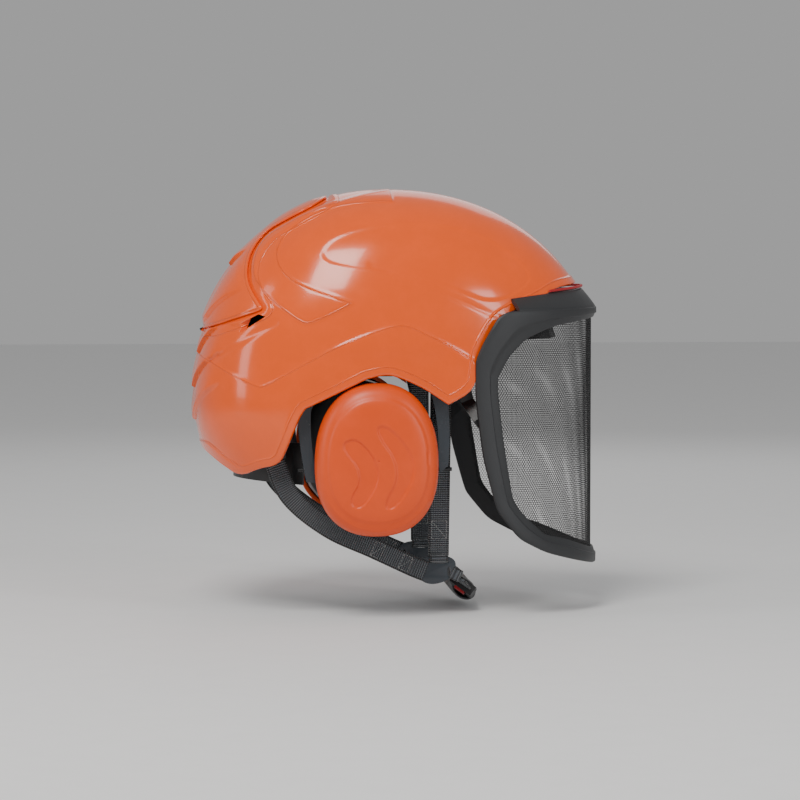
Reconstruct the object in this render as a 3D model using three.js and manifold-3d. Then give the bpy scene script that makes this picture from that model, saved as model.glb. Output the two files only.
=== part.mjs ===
// Forestry hard hat with a flip-up mesh visor, sprung ear muffs, nape cradle and chin strap.
// Millimetres. +X points forward, +Y to the wearer's left, +Z up. The origin is the middle of
// the head opening at the level of the brow.
import * as THREE from "three";
import { mergeVertices } from "three/addons/utils/BufferGeometryUtils.js";
import Module from "manifold-3d";

const wasm = await Module();
wasm.setup();

// ---------------------------------------------------------------- driving dimensions
const GAP = 0.3;                 // clearance between faces that meet
const RUN = 0.8;                 // clearance beside faces that slide or turn

const SHELL_HALF_WIDTH = 107;
const SHELL_FRONT = 175;         // half-axis of the shell surface, forward of its centre
const SHELL_REAR = 149;
const SHELL_CROWN = 165.5;
const SHELL_BELOW = 110;
const SHELL_CENTRE = { x: -4, z: -43 };
const SHELL_WALL = 2.8;
const SIDE_POWER = 2.15;         // roundness of the side outline
const CROSS_POWER = 2.4;         // roundness from side to side
const PLAN_TAPER = 0.0005;       // how the shell narrows towards the front, per millimetre

const COVER_WALL = 2.2;          // rear cover lying on the shell
const INNER_WALL = 2;
const INNER_INSET = { front: 34, rear: 20, crown: 12, below: 12, side: 12 };

const HEAD_FRONT = 106;          // hollow of the impact liner
const HEAD_REAR = 106;
const HEAD_CROWN = 92;
const HEAD_HALF_WIDTH = 82;
const PAD_THICKNESS = 6;

const VISOR_FRONT_X = SHELL_CENTRE.x + SHELL_FRONT - 8;
const VISOR_ROOT_X = 30;         // where the plan curve of the visor is widest
const VISOR_POWER = 2.15;
const FRAME_WALL = 3.6;
const MESH_THICKNESS = 0.8;
const BROW = { x: 55.2, z: -16 };  // where the frame passes closest outside the shell
const BROW_GAP = 1.98;             // between its inner face and the shell there
const VISOR_PIVOT = { x: 13.5, z: 4 };
const ARM_THICKNESS = 3.2;
const PIN_RADIUS = 3.5;

const CUP_HALF_LENGTH = 47;
const CUP_HALF_HEIGHT = 58.3;
const CUP_CENTRE = { x: -20.4, z: -83.5 };
const CUP_POWER = 2.3;
const CUP_RIM_Y = SHELL_HALF_WIDTH - 9;
const CUP_DOME = 20;
const CUP_WALL = 2.2;
const HOUSING_DEPTH = 14;
const CUSHION_DEPTH = 14;

const YOKE_Y = SHELL_HALF_WIDTH - 20.5;       // middle of the yoke's plate
const YOKE_THICKNESS = 5;
const YOKE_AXIS_Z = -16;
const YOKE_ROD_RADIUS = 3.4;
const RAIL_WIDTH = 50;           // width of the muff slider
const TILT_Z = -92;              // height of the cup's pivots in the yoke

const STRAP_WIDTH = 16;
const STRAP_THICKNESS = 1.8;
const DIVIDER_THICKNESS = 3;

const NAPE_TRAVEL = 12;
const DIAL_RADIUS = 15;

// ---------------------------------------------------------------- solids
function solid(geometry) {
  const bare = geometry.clone();
  bare.deleteAttribute("normal");
  bare.deleteAttribute("uv");
  const merged = mergeVertices(bare, 1e-4);
  return new wasm.Manifold(new wasm.Mesh({
    numProp: 3,
    vertProperties: new Float32Array(merged.attributes.position.array),
    triVerts: new Uint32Array(merged.index.array),
  }));
}

function geometryOf(body) {
  const mesh = body.getMesh();
  const geometry = new THREE.BufferGeometry();
  geometry.setAttribute("position", new THREE.BufferAttribute(mesh.vertProperties.slice(), 3));
  geometry.setIndex(new THREE.BufferAttribute(mesh.triVerts.slice(), 1));
  geometry.computeVertexNormals();
  return geometry;
}

// A closed body through rings of points; every ring has the same count and both ends are capped.
function loft(rings, closed = false) {
  const count = rings[0].length;
  const points = rings.flat();
  const faces = [];
  const last = closed ? rings.length : rings.length - 1;
  for (let ring = 0; ring < last; ring += 1) {
    for (let i = 0; i < count; i += 1) {
      const a = ring * count + i;
      const b = ring * count + (i + 1) % count;
      const c = ((ring + 1) % rings.length) * count + i;
      const d = ((ring + 1) % rings.length) * count + (i + 1) % count;
      faces.push(a, b, d, a, d, c);
    }
  }
  if (!closed) {
    for (const [ring, flip] of [[0, true], [rings.length - 1, false]]) {
      const middle = new THREE.Vector3();
      rings[ring].forEach((point) => middle.addScaledVector(point, 1 / count));
      const centre = points.push(middle) - 1;
      for (let i = 0; i < count; i += 1) {
        const a = ring * count + i;
        const b = ring * count + (i + 1) % count;
        faces.push(centre, flip ? b : a, flip ? a : b);
      }
    }
  }
  let volume = 0;
  for (let f = 0; f < faces.length; f += 3) {
    const [p, q, r] = [points[faces[f]], points[faces[f + 1]], points[faces[f + 2]]];
    volume += p.dot(new THREE.Vector3().crossVectors(q, r));
  }
  if (volume < 0) {
    faces.reverse();
  }
  const geometry = new THREE.BufferGeometry();
  geometry.setAttribute("position",
    new THREE.BufferAttribute(new Float32Array(points.flatMap((p) => [p.x, p.y, p.z])), 3));
  geometry.setIndex(faces);
  return solid(geometry);
}

function box(x0, x1, y0, y1, z0, z1) {
  const geometry = new THREE.BoxGeometry(x1 - x0, y1 - y0, z1 - z0);
  geometry.translate((x0 + x1) / 2, (y0 + y1) / 2, (z0 + z1) / 2);
  return solid(geometry);
}

function rodAlong(axis, radius, from, to, at, sides = 20) {
  const geometry = new THREE.CylinderGeometry(radius, radius, to - from, sides);
  if (axis === "x") {
    geometry.rotateZ(Math.PI / 2);
    geometry.translate((from + to) / 2, at.y, at.z);
  } else {
    geometry.translate(at.x, (from + to) / 2, at.z);
  }
  return solid(geometry);
}

// A side-view outline, points [x, z], made solid between two values of Y.
function sidePlate(outline, y0, y1) {
  const shape = outline instanceof THREE.Shape
    ? outline
    : new THREE.Shape(outline.map(([x, z]) => new THREE.Vector2(x, z)));
  const geometry = new THREE.ExtrudeGeometry(shape,
    { depth: y1 - y0, bevelEnabled: false, curveSegments: 8 });
  geometry.rotateX(Math.PI / 2);
  geometry.translate(0, y1, 0);
  return solid(geometry);
}

function throughPlate(outline) {
  return sidePlate(outline, -1.5 * SHELL_HALF_WIDTH, 1.5 * SHELL_HALF_WIDTH);
}

const mirrored = (body) => body.mirror([0, 1, 0]);
const vector = (x, y, z) => new THREE.Vector3(x, y, z);

// ---------------------------------------------------------------- shell surface
// The shell is a rounded dome. `inset` moves its surface inwards.
function axes(inset) {
  const part = typeof inset === "number"
    ? { front: inset, rear: inset, crown: inset, below: inset, side: inset } : inset;
  return {
    front: SHELL_FRONT - part.front,
    rear: SHELL_REAR - part.rear,
    crown: SHELL_CROWN - part.crown,
    below: SHELL_BELOW - part.below,
    side: SHELL_HALF_WIDTH - part.side,
    centre: SHELL_CENTRE,
    taper: PLAN_TAPER,
  };
}

function dome(a, around = 46, across = 16) {
  const rings = [];
  for (let j = 0; j <= across; j += 1) {
    const t = (j / across - 0.5) * Math.PI * 0.965;
    const reach = Math.cos(t) ** (2 / CROSS_POWER);
    const side = Math.sign(t) * Math.abs(Math.sin(t)) ** (2 / CROSS_POWER);
    const ring = [];
    for (let i = 0; i < around; i += 1) {
      const s = (i / around) * 2 * Math.PI;
      const halfX = Math.cos(s) > 0 ? a.front : a.rear;
      const halfZ = Math.sin(s) > 0 ? a.crown : a.below;
      const radius = (Math.abs(Math.cos(s) / halfX) ** SIDE_POWER
        + Math.abs(Math.sin(s) / halfZ) ** SIDE_POWER) ** (-1 / SIDE_POWER);
      const x = a.centre.x + reach * radius * Math.cos(s);
      const z = a.centre.z + reach * radius * Math.sin(s);
      ring.push(new THREE.Vector3(x, a.side * side * (1 - a.taper * (x + 30)), z));
    }
    rings.push(ring);
  }
  return loft(rings);
}

// Half-width of the dome at a side-view point.
function domeHalfWidth(x, z, inset) {
  const a = axes(inset);
  const dx = x - a.centre.x;
  const dz = z - a.centre.z;
  const share = Math.abs(dx / (dx > 0 ? a.front : a.rear)) ** SIDE_POWER
    + Math.abs(dz / (dz > 0 ? a.crown : a.below)) ** SIDE_POWER;
  const rest = Math.max(0, 1 - share ** (CROSS_POWER / SIDE_POWER));
  return a.side * rest ** (1 / CROSS_POWER) * (1 - a.taper * (x + 30));
}

const VISOR_SIDE_Y = domeHalfWidth(BROW.x, BROW.z, 0) + FRAME_WALL + BROW_GAP;    // half-width of the visor frame

// ---------------------------------------------------------------- materials and scene
const MATERIALS = {
  orange: { color: 0xea5a10, roughness: 0.3, metalness: 0 },
  satinOrange: { color: 0xe8500f, roughness: 0.5, metalness: 0 },
  black: { color: 0x17181a, roughness: 0.45, metalness: 0 },
  frame: { color: 0x2c2d2f, roughness: 0.6, metalness: 0 },
  mesh: { color: 0x1c1d1f, roughness: 0.5, metalness: 0.6 },
  red: { color: 0xb5121b, roughness: 0.5, metalness: 0 },
  yoke: { color: 0x3a4047, roughness: 0.3, metalness: 0 },
  steel: { color: 0x9a9da1, roughness: 0.3, metalness: 1 },
  foam: { color: 0x3c3f44, roughness: 0.95, metalness: 0 },
  liner: { color: 0x2a2b2e, roughness: 0.9, metalness: 0 },
  fabric: { color: 0x6b6e73, roughness: 0.95, metalness: 0 },
  webbing: { color: 0x4a4e55, roughness: 0.9, metalness: 0 },
};

const hat = new THREE.Group();

function add(name, body, material) {
  const mesh = new THREE.Mesh(geometryOf(body), new THREE.MeshStandardMaterial(MATERIALS[material]));
  mesh.name = name;
  hat.add(mesh);
}

// Adds a piece on the wearer's left, drawn at +Y, and its mirror image on the right.
function addPair(name, leftBody, material) {
  add(`${name}_left`, leftBody, material);
  add(`${name}_right`, mirrored(leftBody), material);
}

// ---------------------------------------------------------------- outer shell and rear cover
const FAR = 260;                 // well outside the shell

function shellOutline() {
  const shape = new THREE.Shape();
  shape.moveTo(FAR, 49.5);
  shape.lineTo(138, 48.5);
  shape.lineTo(124, 46.5);
  shape.lineTo(108, 38);
  shape.lineTo(81, 27);
  shape.lineTo(72, 21);
  shape.lineTo(61, 4);
  shape.lineTo(56, -9);
  shape.lineTo(54.8, -30.4);
  shape.lineTo(34, -41.3);
  shape.splineThru([[15, -29], [-4, -20.5], [-15, -18.6], [-28.3, -21.2]]
    .map(([x, z]) => new THREE.Vector2(x, z)));
  shape.lineTo(-70.3, -41.7);
  shape.lineTo(-77.3, -44.9);
  shape.lineTo(-88.3, -74.1);
  shape.lineTo(-93.7, -87.1);
  shape.lineTo(-108, -90);
  shape.lineTo(-121, -97.5);
  shape.lineTo(-135, -88);
  shape.lineTo(-146.6, -78.5);
  shape.lineTo(-FAR, -78.5);
  shape.lineTo(-FAR, FAR);
  shape.lineTo(FAR, FAR);
  return shape;
}

const VENT_SLOT = [[-108.6, 26.5], [-103.6, 24.8], [-134.8, 3.8], [-138.3, 10.3]];
const REAR_VENT = { halfWidth: 9, z0: 19, z1: 44 };

function outerShell() {
  const wall = dome(axes(0)).subtract(dome(axes(SHELL_WALL)));
  const rearVent = box(-FAR, -100, -REAR_VENT.halfWidth, REAR_VENT.halfWidth,
    REAR_VENT.z0, REAR_VENT.z1);
  return wall.intersect(throughPlate(shellOutline()))
    .subtract(throughPlate(VENT_SLOT))
    .subtract(rearVent);
}

// The cover lies on the back of the crown, between the raised hood line and the rear plates.
const COVER_OUTLINE = [
  [-54, FAR], [-54, 100], [-99, 89], [-111, 73.6], [-115.2, 59.3], [-114.2, 47.1],
  [-107.2, 34], [-104, 30], [-122, 24], [-142, 16], [-FAR, 12], [-FAR, FAR],
];

function rearCover() {
  const opening = box(-FAR, -100, -REAR_VENT.halfWidth - 2, REAR_VENT.halfWidth + 2,
    REAR_VENT.z0 - 2, REAR_VENT.z1 + 2);
  return dome(axes(-GAP - COVER_WALL)).subtract(dome(axes(-GAP)))
    .intersect(throughPlate(COVER_OUTLINE))
    .subtract(opening);
}

add("outer_shell", outerShell(), "orange");
add("rear_cover", rearCover(), "orange");

// ---------------------------------------------------------------- inner shell and liner
const SIDE_EDGE_Z = 26;          // lower edge of the inner shell above the ears
const REAR_EDGE_Z = -57;
const INNER_OUTLINE = [
  [FAR, 10], [100, 6], [72, 8], [62, SIDE_EDGE_Z], [-82, SIDE_EDGE_Z], [-92, -10],
  [-96, REAR_EDGE_Z], [-FAR, REAR_EDGE_Z], [-FAR, FAR], [FAR, FAR],
];

function grown(inset, by) {
  return Object.fromEntries(Object.entries(inset).map(([key, value]) => [key, value + by]));
}

function headHollow(inset) {
  return {
    front: HEAD_FRONT - inset,
    rear: HEAD_REAR - inset,
    crown: HEAD_CROWN - inset,
    below: 2 * HEAD_CROWN,
    side: HEAD_HALF_WIDTH - inset,
    centre: { x: 0, z: 0 },
    taper: 0,
  };
}

function innerShell() {
  return dome(axes(INNER_INSET), 44, 16).subtract(dome(axes(grown(INNER_INSET, INNER_WALL)), 44, 16))
    .intersect(throughPlate(INNER_OUTLINE));
}

const LINER_INSET = grown(INNER_INSET, INNER_WALL + GAP);
const CHANNEL_WIDTH = 12;

function impactLiner() {
  const body = dome(axes(LINER_INSET), 44, 16).subtract(dome(headHollow(0), 40, 14))
    .intersect(throughPlate(INNER_OUTLINE));
  const channels = [-36, 36].map((y) => box(-60, 60, y - CHANNEL_WIDTH / 2, y + CHANNEL_WIDTH / 2,
    HEAD_CROWN - 40, HEAD_CROWN - 1));
  return channels.reduce((result, channel) => result.subtract(channel), body);
}

add("inner_shell", innerShell(), "black");
add("impact_liner", impactLiner(), "liner");

// Comfort pads line the hollow; each is the part of the lining that lies inside a box.
function headPad(region) {
  return dome(headHollow(GAP), 40, 14).subtract(dome(headHollow(GAP + PAD_THICKNESS), 40, 14))
    .intersect(region);
}

add("brow_pad", headPad(box(60, 130, -58, 58, 12, 40)), "fabric");
add("crown_pad", headPad(box(-40, 40, -26, 26, 70, 120)), "fabric");
addPair("side_pad", headPad(box(-48, 28, 40, 100, 30, 56)), "fabric");

// ---------------------------------------------------------------- visor
// Plan curve of the visor: half-width Y at forward position X, moved inwards by `inset`.
function visorPlan(inset, steps = 36) {
  const reach = VISOR_FRONT_X - VISOR_ROOT_X - inset;
  const half = VISOR_SIDE_Y - inset;
  const points = [];
  for (let i = 0; i <= steps; i += 1) {
    const a = (i / steps - 0.5) * Math.PI;
    const x = VISOR_ROOT_X + reach * Math.cos(a) ** (2 / VISOR_POWER);
    const y = half * Math.sign(a) * Math.abs(Math.sin(a)) ** (2 / VISOR_POWER);
    points.push(new THREE.Vector2(x, y));
  }
  return points;
}

function visorWall(outer, inner, z0, z1) {
  const shape = new THREE.Shape([...visorPlan(outer), ...visorPlan(inner).reverse()]);
  const geometry = new THREE.ExtrudeGeometry(shape, { depth: z1 - z0, bevelEnabled: false });
  geometry.translate(0, 0, z0);
  return solid(geometry);
}

const VISOR_TOP_Z = 31;
const VISOR_BOTTOM_Z = -171;
const BAND_RISE = 15;            // the sloping band above the visor's front edge

const FRAME_OUTER = [
  [FAR, VISOR_TOP_Z], [82, VISOR_TOP_Z - 2], [73, 23.9], [60.8, 3.6], [55.2, -9], [55.2, -37],
  [61, -82], [69.5, -113], [73.2, -124.6], [90.9, -146], [113.7, -157.6], [158, -170.6],
  [FAR, VISOR_BOTTOM_Z],
];
const FRAME_OPENING = [
  [FAR, 23.3], [120, 17], [96, 7.4], [81.8, -6.6], [73.3, -22], [73.3, -32], [77.7, -68.7],
  [85.5, -115.4], [94.8, -127.6], [112.1, -143.3], [129.3, -147.2], [157.7, -158.1], [FAR, -158.5],
];
const MESH_OUTLINE = [
  [FAR, 27], [118, 22], [92, 12], [77, -4], [69, -20], [69, -33], [73.5, -69], [81.5, -117],
  [91.5, -131], [110, -147], [128, -151], [158, -162], [FAR, -162.5],
];

// Forward reach of the shell's surface at a height and a distance from the middle plane.
function shellFrontX(y, z) {
  let low = 0;
  let high = SHELL_CENTRE.x + SHELL_FRONT;
  for (let step = 0; step < 24; step += 1) {
    const middle = (low + high) / 2;
    if (domeHalfWidth(middle, z, 0) > Math.abs(y)) {
      low = middle;
    } else {
      high = middle;
    }
  }
  return low;
}

const BAND_GAP = 2.4;            // between the sloping band and the shell
const BAND_NARROWING = 0.86;     // half-width of the band's back edge, as a share of its front edge
const BAND_WALL = 2.6;
const PLAN_STEPS = 36;
const BAND_ENDS = 5;             // plan steps left out at each side

// Back edge of the sloping band, which follows the shell.
function bandEdge(i) {
  const share = Math.sin((Math.PI * i) / PLAN_STEPS);
  const z = VISOR_TOP_Z + BAND_RISE * share ** 0.8;
  const y = visorPlan(0, PLAN_STEPS)[i].y * BAND_NARROWING;
  return vector(shellFrontX(y, z) + BAND_GAP, y, z);
}

function bandSteps(ends) {
  return Array.from({ length: PLAN_STEPS + 1 - 2 * ends }, (_, k) => k + ends);
}

function slopingBand() {
  const front = visorPlan(0, PLAN_STEPS);
  const frontInside = visorPlan(BAND_WALL, PLAN_STEPS);
  return loft(bandSteps(BAND_ENDS).map((i) => {
    const back = bandEdge(i);
    return [
      vector(front[i].x, front[i].y, VISOR_TOP_Z - 1),
      back,
      vector(back.x, back.y, back.z - BAND_WALL),
      vector(frontInside[i].x, frontInside[i].y, VISOR_TOP_Z - 1 - BAND_WALL),
    ];
  }));
}

function visorFrame() {
  return visorWall(0, FRAME_WALL, VISOR_BOTTOM_Z, VISOR_TOP_Z)
    .intersect(throughPlate(FRAME_OUTER))
    .subtract(throughPlate(FRAME_OPENING))
    .add(slopingBand());
}

function visorMesh() {
  const inset = FRAME_WALL + GAP;
  return visorWall(inset, inset + MESH_THICKNESS, VISOR_BOTTOM_Z, VISOR_TOP_Z)
    .intersect(throughPlate(MESH_OUTLINE));
}

// Soft red lip along the back edge of the sloping band.
const LIP_WIDTH = 1.6;

function visorLip() {
  return loft(bandSteps(9).map((i) => {
    const edge = bandEdge(i);
    return [[0.2, 0], [0.2, 1.8], [LIP_WIDTH, 1.8], [LIP_WIDTH, 0]]
      .map(([dx, dz]) => vector(edge.x + dx, edge.y, edge.z + GAP + dz));
  }));
}

add("visor_frame", visorFrame(), "frame");
add("visor_mesh", visorMesh(), "mesh");
add("visor_lip", visorLip(), "red");

// The arms turn inside the shell and step outwards to the frame below its front corner.
const ARM_Y = SHELL_HALF_WIDTH - 12.3;        // middle of the arm at the pivot
const ARM_HALF_WIDTH = 5;
const ARM_CLEAR_OF_CUP = 19.9;

// Half-width of the visor's wall at forward position x.
function visorHalfWidth(x, inset) {
  const share = (x - VISOR_ROOT_X) / (VISOR_FRONT_X - VISOR_ROOT_X - inset);
  return (VISOR_SIDE_Y - inset) * (1 - share ** VISOR_POWER) ** (1 / VISOR_POWER);
}

function ribbon(path, widthDirections, width, thickness) {
  const rings = path.map((point, i) => {
    const before = path[Math.max(0, i - 1)];
    const after = path[Math.min(path.length - 1, i + 1)];
    const along = new THREE.Vector3().subVectors(after, before).normalize();
    const wide = (Array.isArray(widthDirections) ? widthDirections[i] : widthDirections).clone();
    wide.addScaledVector(along, -wide.dot(along)).normalize();
    const thick = new THREE.Vector3().crossVectors(along, wide);
    return [[-1, -1], [1, -1], [1, 1], [-1, 1]].map(([a, b]) => point.clone()
      .addScaledVector(wide, (a * width) / 2).addScaledVector(thick, (b * thickness) / 2));
  });
  return loft(rings);
}

function visorArm() {
  const { x, z } = VISOR_PIVOT;
  const past = CUP_CENTRE.x + CUP_HALF_LENGTH + ARM_CLEAR_OF_CUP - x;    // forward of the muff's yoke
  const beside = (forward) => visorHalfWidth(x + forward + 4, FRAME_WALL) - GAP - 1 - ARM_THICKNESS / 2;
  const wide = [vector(0, 0, 1), vector(0, 0, 1), vector(0.2, 0, 1), vector(0.7, 0, 1), vector(1, 0, 0.35),
    vector(1, 0, 0.3), vector(1, 0, 0.6), vector(1, 0, 0.9)];
  const forward = ribbon([
    vector(x, ARM_Y, z), vector(x + 10, ARM_Y, z - 1), vector(x + 20, ARM_Y - 2.4, z - 3), vector(x + past - 4, ARM_Y - 5.8, z - 12),
    vector(x + past, ARM_Y - 8.4, z - 27), vector(x + past + 4, ARM_Y - 8.8, z - 44),
    vector(x + past + 12, beside(past + 12), z - 57), vector(x + past + 18, beside(past + 18), z - 64),
  ], wide, 2 * ARM_HALF_WIDTH, ARM_THICKNESS);
  const hub = rodAlong("y", 8, ARM_Y - ARM_THICKNESS / 2, ARM_Y + ARM_THICKNESS / 2, VISOR_PIVOT, 24);
  const hole = rodAlong("y", PIN_RADIUS + GAP, 0, FAR, VISOR_PIVOT, 20);
  return forward.add(hub).subtract(hole);
}

// Each visor bracket is a boss between the shell wall and the arm; the pin is headed on the inside.
const BRACKET_INNER_Y = ARM_Y + ARM_THICKNESS / 2 + GAP;
const PIN_HEAD_Y = ARM_Y - ARM_THICKNESS / 2 - GAP;

function visorBracket() {
  return rodAlong("y", 11, BRACKET_INNER_Y, FAR, VISOR_PIVOT, 24)
    .intersect(dome(axes(SHELL_WALL + GAP)))
    .subtract(rodAlong("y", PIN_RADIUS + GAP, 0, FAR, VISOR_PIVOT, 20));
}

function visorPin() {
  const tip = domeHalfWidth(VISOR_PIVOT.x, VISOR_PIVOT.z, SHELL_WALL) - 1;
  return rodAlong("y", PIN_RADIUS, PIN_HEAD_Y - 1, tip, VISOR_PIVOT, 20)
    .add(rodAlong("y", 6, PIN_HEAD_Y - 1.8, PIN_HEAD_Y, VISOR_PIVOT, 20));
}

addPair("visor_arm", visorArm(), "black");
addPair("visor_bracket", visorBracket(), "black");
addPair("visor_pivot_pin", visorPin(), "steel");

// ---------------------------------------------------------------- muff carriers
const RAIL_CENTRE_X = CUP_CENTRE.x;
const SLIDER_Y = YOKE_Y - YOKE_THICKNESS / 2 - 5;      // inner face of the slider plate
const SLIDER_THICKNESS = 2.6;
const LUG_WIDTH = 7;
const LUG_INSET = 1.5;

function muffBracket() {
  const half = RAIL_WIDTH / 2 + RUN;
  const back = box(RAIL_CENTRE_X - half - 5, RAIL_CENTRE_X + half + 5,
    SLIDER_Y - RUN - 2.6, SLIDER_Y - RUN, -2, SIDE_EDGE_Z - GAP);
  const rails = [-1, 1].map((side) => box(
    RAIL_CENTRE_X + Math.min(side * half, side * (half + 5)),
    RAIL_CENTRE_X + Math.max(side * half, side * (half + 5)),
    SLIDER_Y - RUN - 1, SLIDER_Y + SLIDER_THICKNESS + 2, -2, SIDE_EDGE_Z - GAP));
  return back.add(rails[0]).add(rails[1]);
}

function muffSlider() {
  const half = RAIL_WIDTH / 2;
  const plate = box(RAIL_CENTRE_X - half, RAIL_CENTRE_X + half,
    SLIDER_Y, SLIDER_Y + SLIDER_THICKNESS, YOKE_AXIS_Z - 5, SIDE_EDGE_Z - 4);
  const lugs = [-1, 1].map((side) => {
    const middle = RAIL_CENTRE_X + side * (half - LUG_INSET - LUG_WIDTH / 2);
    return box(middle - LUG_WIDTH / 2, middle + LUG_WIDTH / 2,
      SLIDER_Y + 1, YOKE_Y + YOKE_ROD_RADIUS + 2, YOKE_AXIS_Z - 5, YOKE_AXIS_Z + 5.5);
  });
  const bore = rodAlong("x", YOKE_ROD_RADIUS + GAP, -FAR, FAR, { y: YOKE_Y, z: YOKE_AXIS_Z }, 20);
  return plate.add(lugs[0]).add(lugs[1]).subtract(bore);
}

// Inverted U: a round rod turns in the slider's lugs and flat legs reach down beside the cup.
function muffYoke() {
  const left = CUP_CENTRE.x - CUP_HALF_LENGTH;
  const right = CUP_CENTRE.x + CUP_HALF_LENGTH;
  const outline = new THREE.Shape();
  outline.moveTo(left - 11, YOKE_AXIS_Z + 3);
  outline.lineTo(left + 14, YOKE_AXIS_Z + 4.5);
  outline.lineTo(left + 14, YOKE_AXIS_Z - 4);
  outline.quadraticCurveTo(left + 1, YOKE_AXIS_Z - 6, left - 1.5, YOKE_AXIS_Z - 27);
  outline.quadraticCurveTo(left - 4.5, -62, left + 3, TILT_Z - 10);
  outline.lineTo(left - 5.5, TILT_Z - 9);
  outline.quadraticCurveTo(left - 14.5, -60, left - 11, YOKE_AXIS_Z - 14);
  const front = new THREE.Shape();
  front.moveTo(right + 6.5, YOKE_AXIS_Z - 2);
  front.quadraticCurveTo(right + 12, -60, right + 9, TILT_Z + 3);
  front.lineTo(right + 2.5, TILT_Z - 3);
  front.lineTo(right + 1.2, TILT_Z + 8);
  front.quadraticCurveTo(right + 2.5, -62, right - 2.5, YOKE_AXIS_Z - 24);
  front.quadraticCurveTo(right - 6, YOKE_AXIS_Z - 6, right - 17, YOKE_AXIS_Z - 4);
  front.lineTo(right - 17, YOKE_AXIS_Z + 3.6);
  front.lineTo(right - 2, YOKE_AXIS_Z + 3);
  const y0 = YOKE_Y - YOKE_THICKNESS / 2;
  const y1 = YOKE_Y + YOKE_THICKNESS / 2;
  const rod = rodAlong("x", YOKE_ROD_RADIUS, left + 8, right - 11, { y: YOKE_Y, z: YOKE_AXIS_Z }, 20);
  return sidePlate(outline, y0, y1).add(sidePlate(front, y0, y1)).add(rod)
    .subtract(tiltPins(PIVOT_RADIUS + GAP));
}

const PIVOT_RADIUS = 1.5;

function tiltPins(radius) {
  const at = { y: YOKE_Y, z: TILT_Z };
  return rodAlong("x", radius, CUP_CENTRE.x - CUP_HALF_LENGTH - 12,
    CUP_CENTRE.x + CUP_HALF_LENGTH + 12, at, 16);
}

addPair("muff_bracket", muffBracket(), "black");
addPair("muff_slider", muffSlider(), "black");
addPair("muff_yoke", muffYoke(), "yoke");

// ---------------------------------------------------------------- ear cups
// A closed oval body; the profile lists [share of the oval's size, Y], from pole to pole.
function ovalTurned(profile, scale = 1, segments = 32, isRing = false) {
  const rings = profile.map(([share, y]) => {
    const ring = [];
    for (let i = 0; i < segments; i += 1) {
      const a = (i / segments) * 2 * Math.PI;
      const radius = (Math.abs(Math.cos(a) / CUP_HALF_LENGTH) ** CUP_POWER
        + Math.abs(Math.sin(a) / CUP_HALF_HEIGHT) ** CUP_POWER) ** (-1 / CUP_POWER);
      const egg = 1 - 0.05 * Math.sin(a);
      ring.push(vector(CUP_CENTRE.x + share * scale * radius * egg * Math.cos(a), y,
        CUP_CENTRE.z + share * scale * radius * Math.sin(a)));
    }
    return ring;
  });
  return loft(rings, isRing);
}

function cupCover() {
  const rim = CUP_RIM_Y;
  const top = CUP_RIM_Y + CUP_DOME;
  return ovalTurned([[0.08, top], [0.45, top - 0.2], [0.7, top - 1.4], [0.86, top - 4.2],
    [0.955, top - 9], [1, top - 15.5], [1, rim], [1 - CUP_WALL / 47, rim], [0.945, top - 15.5],
    [0.9, top - 9.6], [0.8, top - 5.6], [0.62, top - 3.2], [0.4, top - 2.4], [0.06, top - CUP_WALL]]);
}

const HOUSING_OUTER_Y = CUP_RIM_Y - GAP;
const HOUSING_INNER_Y = HOUSING_OUTER_Y - HOUSING_DEPTH;
const HOUSING_SCALE = 0.93;

function cupHousing() {
  const bowl = ovalTurned([[0.06, HOUSING_OUTER_Y], [1, HOUSING_OUTER_Y],
    [0.99, HOUSING_OUTER_Y - 7], [0.95, HOUSING_INNER_Y], [0.72, HOUSING_INNER_Y],
    [0.72, HOUSING_OUTER_Y - 3], [0.06, HOUSING_OUTER_Y - 3]], HOUSING_SCALE);
  const hollow = ovalTurned([[0.06, HOUSING_INNER_Y - 5], [0.72, HOUSING_INNER_Y - 5],
    [0.72, HOUSING_OUTER_Y - 3], [0.06, HOUSING_OUTER_Y - 3]], HOUSING_SCALE);
  return bowl.add(tiltPins(PIVOT_RADIUS)).subtract(hollow);
}

function cupFoam() {
  return ovalTurned([[0.06, HOUSING_OUTER_Y - 3 - GAP], [0.7, HOUSING_OUTER_Y - 3 - GAP],
    [0.7, HOUSING_OUTER_Y - 9], [0.06, HOUSING_OUTER_Y - 9]], HOUSING_SCALE, 24);
}

function cupCushion() {
  const face = HOUSING_INNER_Y - GAP;
  const head = face - CUSHION_DEPTH;
  return ovalTurned([[0.9, face], [0.97, face - 4], [0.94, head + 2.5], [0.83, head],
    [0.66, head], [0.57, head + 2.5], [0.56, face - 3], [0.62, face]], HOUSING_SCALE, 32, true);
}

addPair("cup_cover", cupCover(), "satinOrange");
addPair("cup_housing", cupHousing(), "black");
addPair("cup_foam", cupFoam(), "foam");
addPair("cup_cushion", cupCushion(), "black");

// ---------------------------------------------------------------- nape cradle
const NAPE_CENTRE_X = -40;
const NAPE_HALF_LENGTH = 84;
const NAPE_HALF_WIDTH = 72;
const CRADLE_WALL = 3.5;
const NAPE_LOW = -102;
const NAPE_HIGH = -70;
const NAPE_PAD_THICKNESS = 5;
const TONGUE_HALF_WIDTH = 11.7;
const TONGUE_Z = -61.6;
const GUIDE_X = { front: -103, rear: -113 };
const STEM_X = GUIDE_X.rear - NAPE_TRAVEL - GAP;

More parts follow.
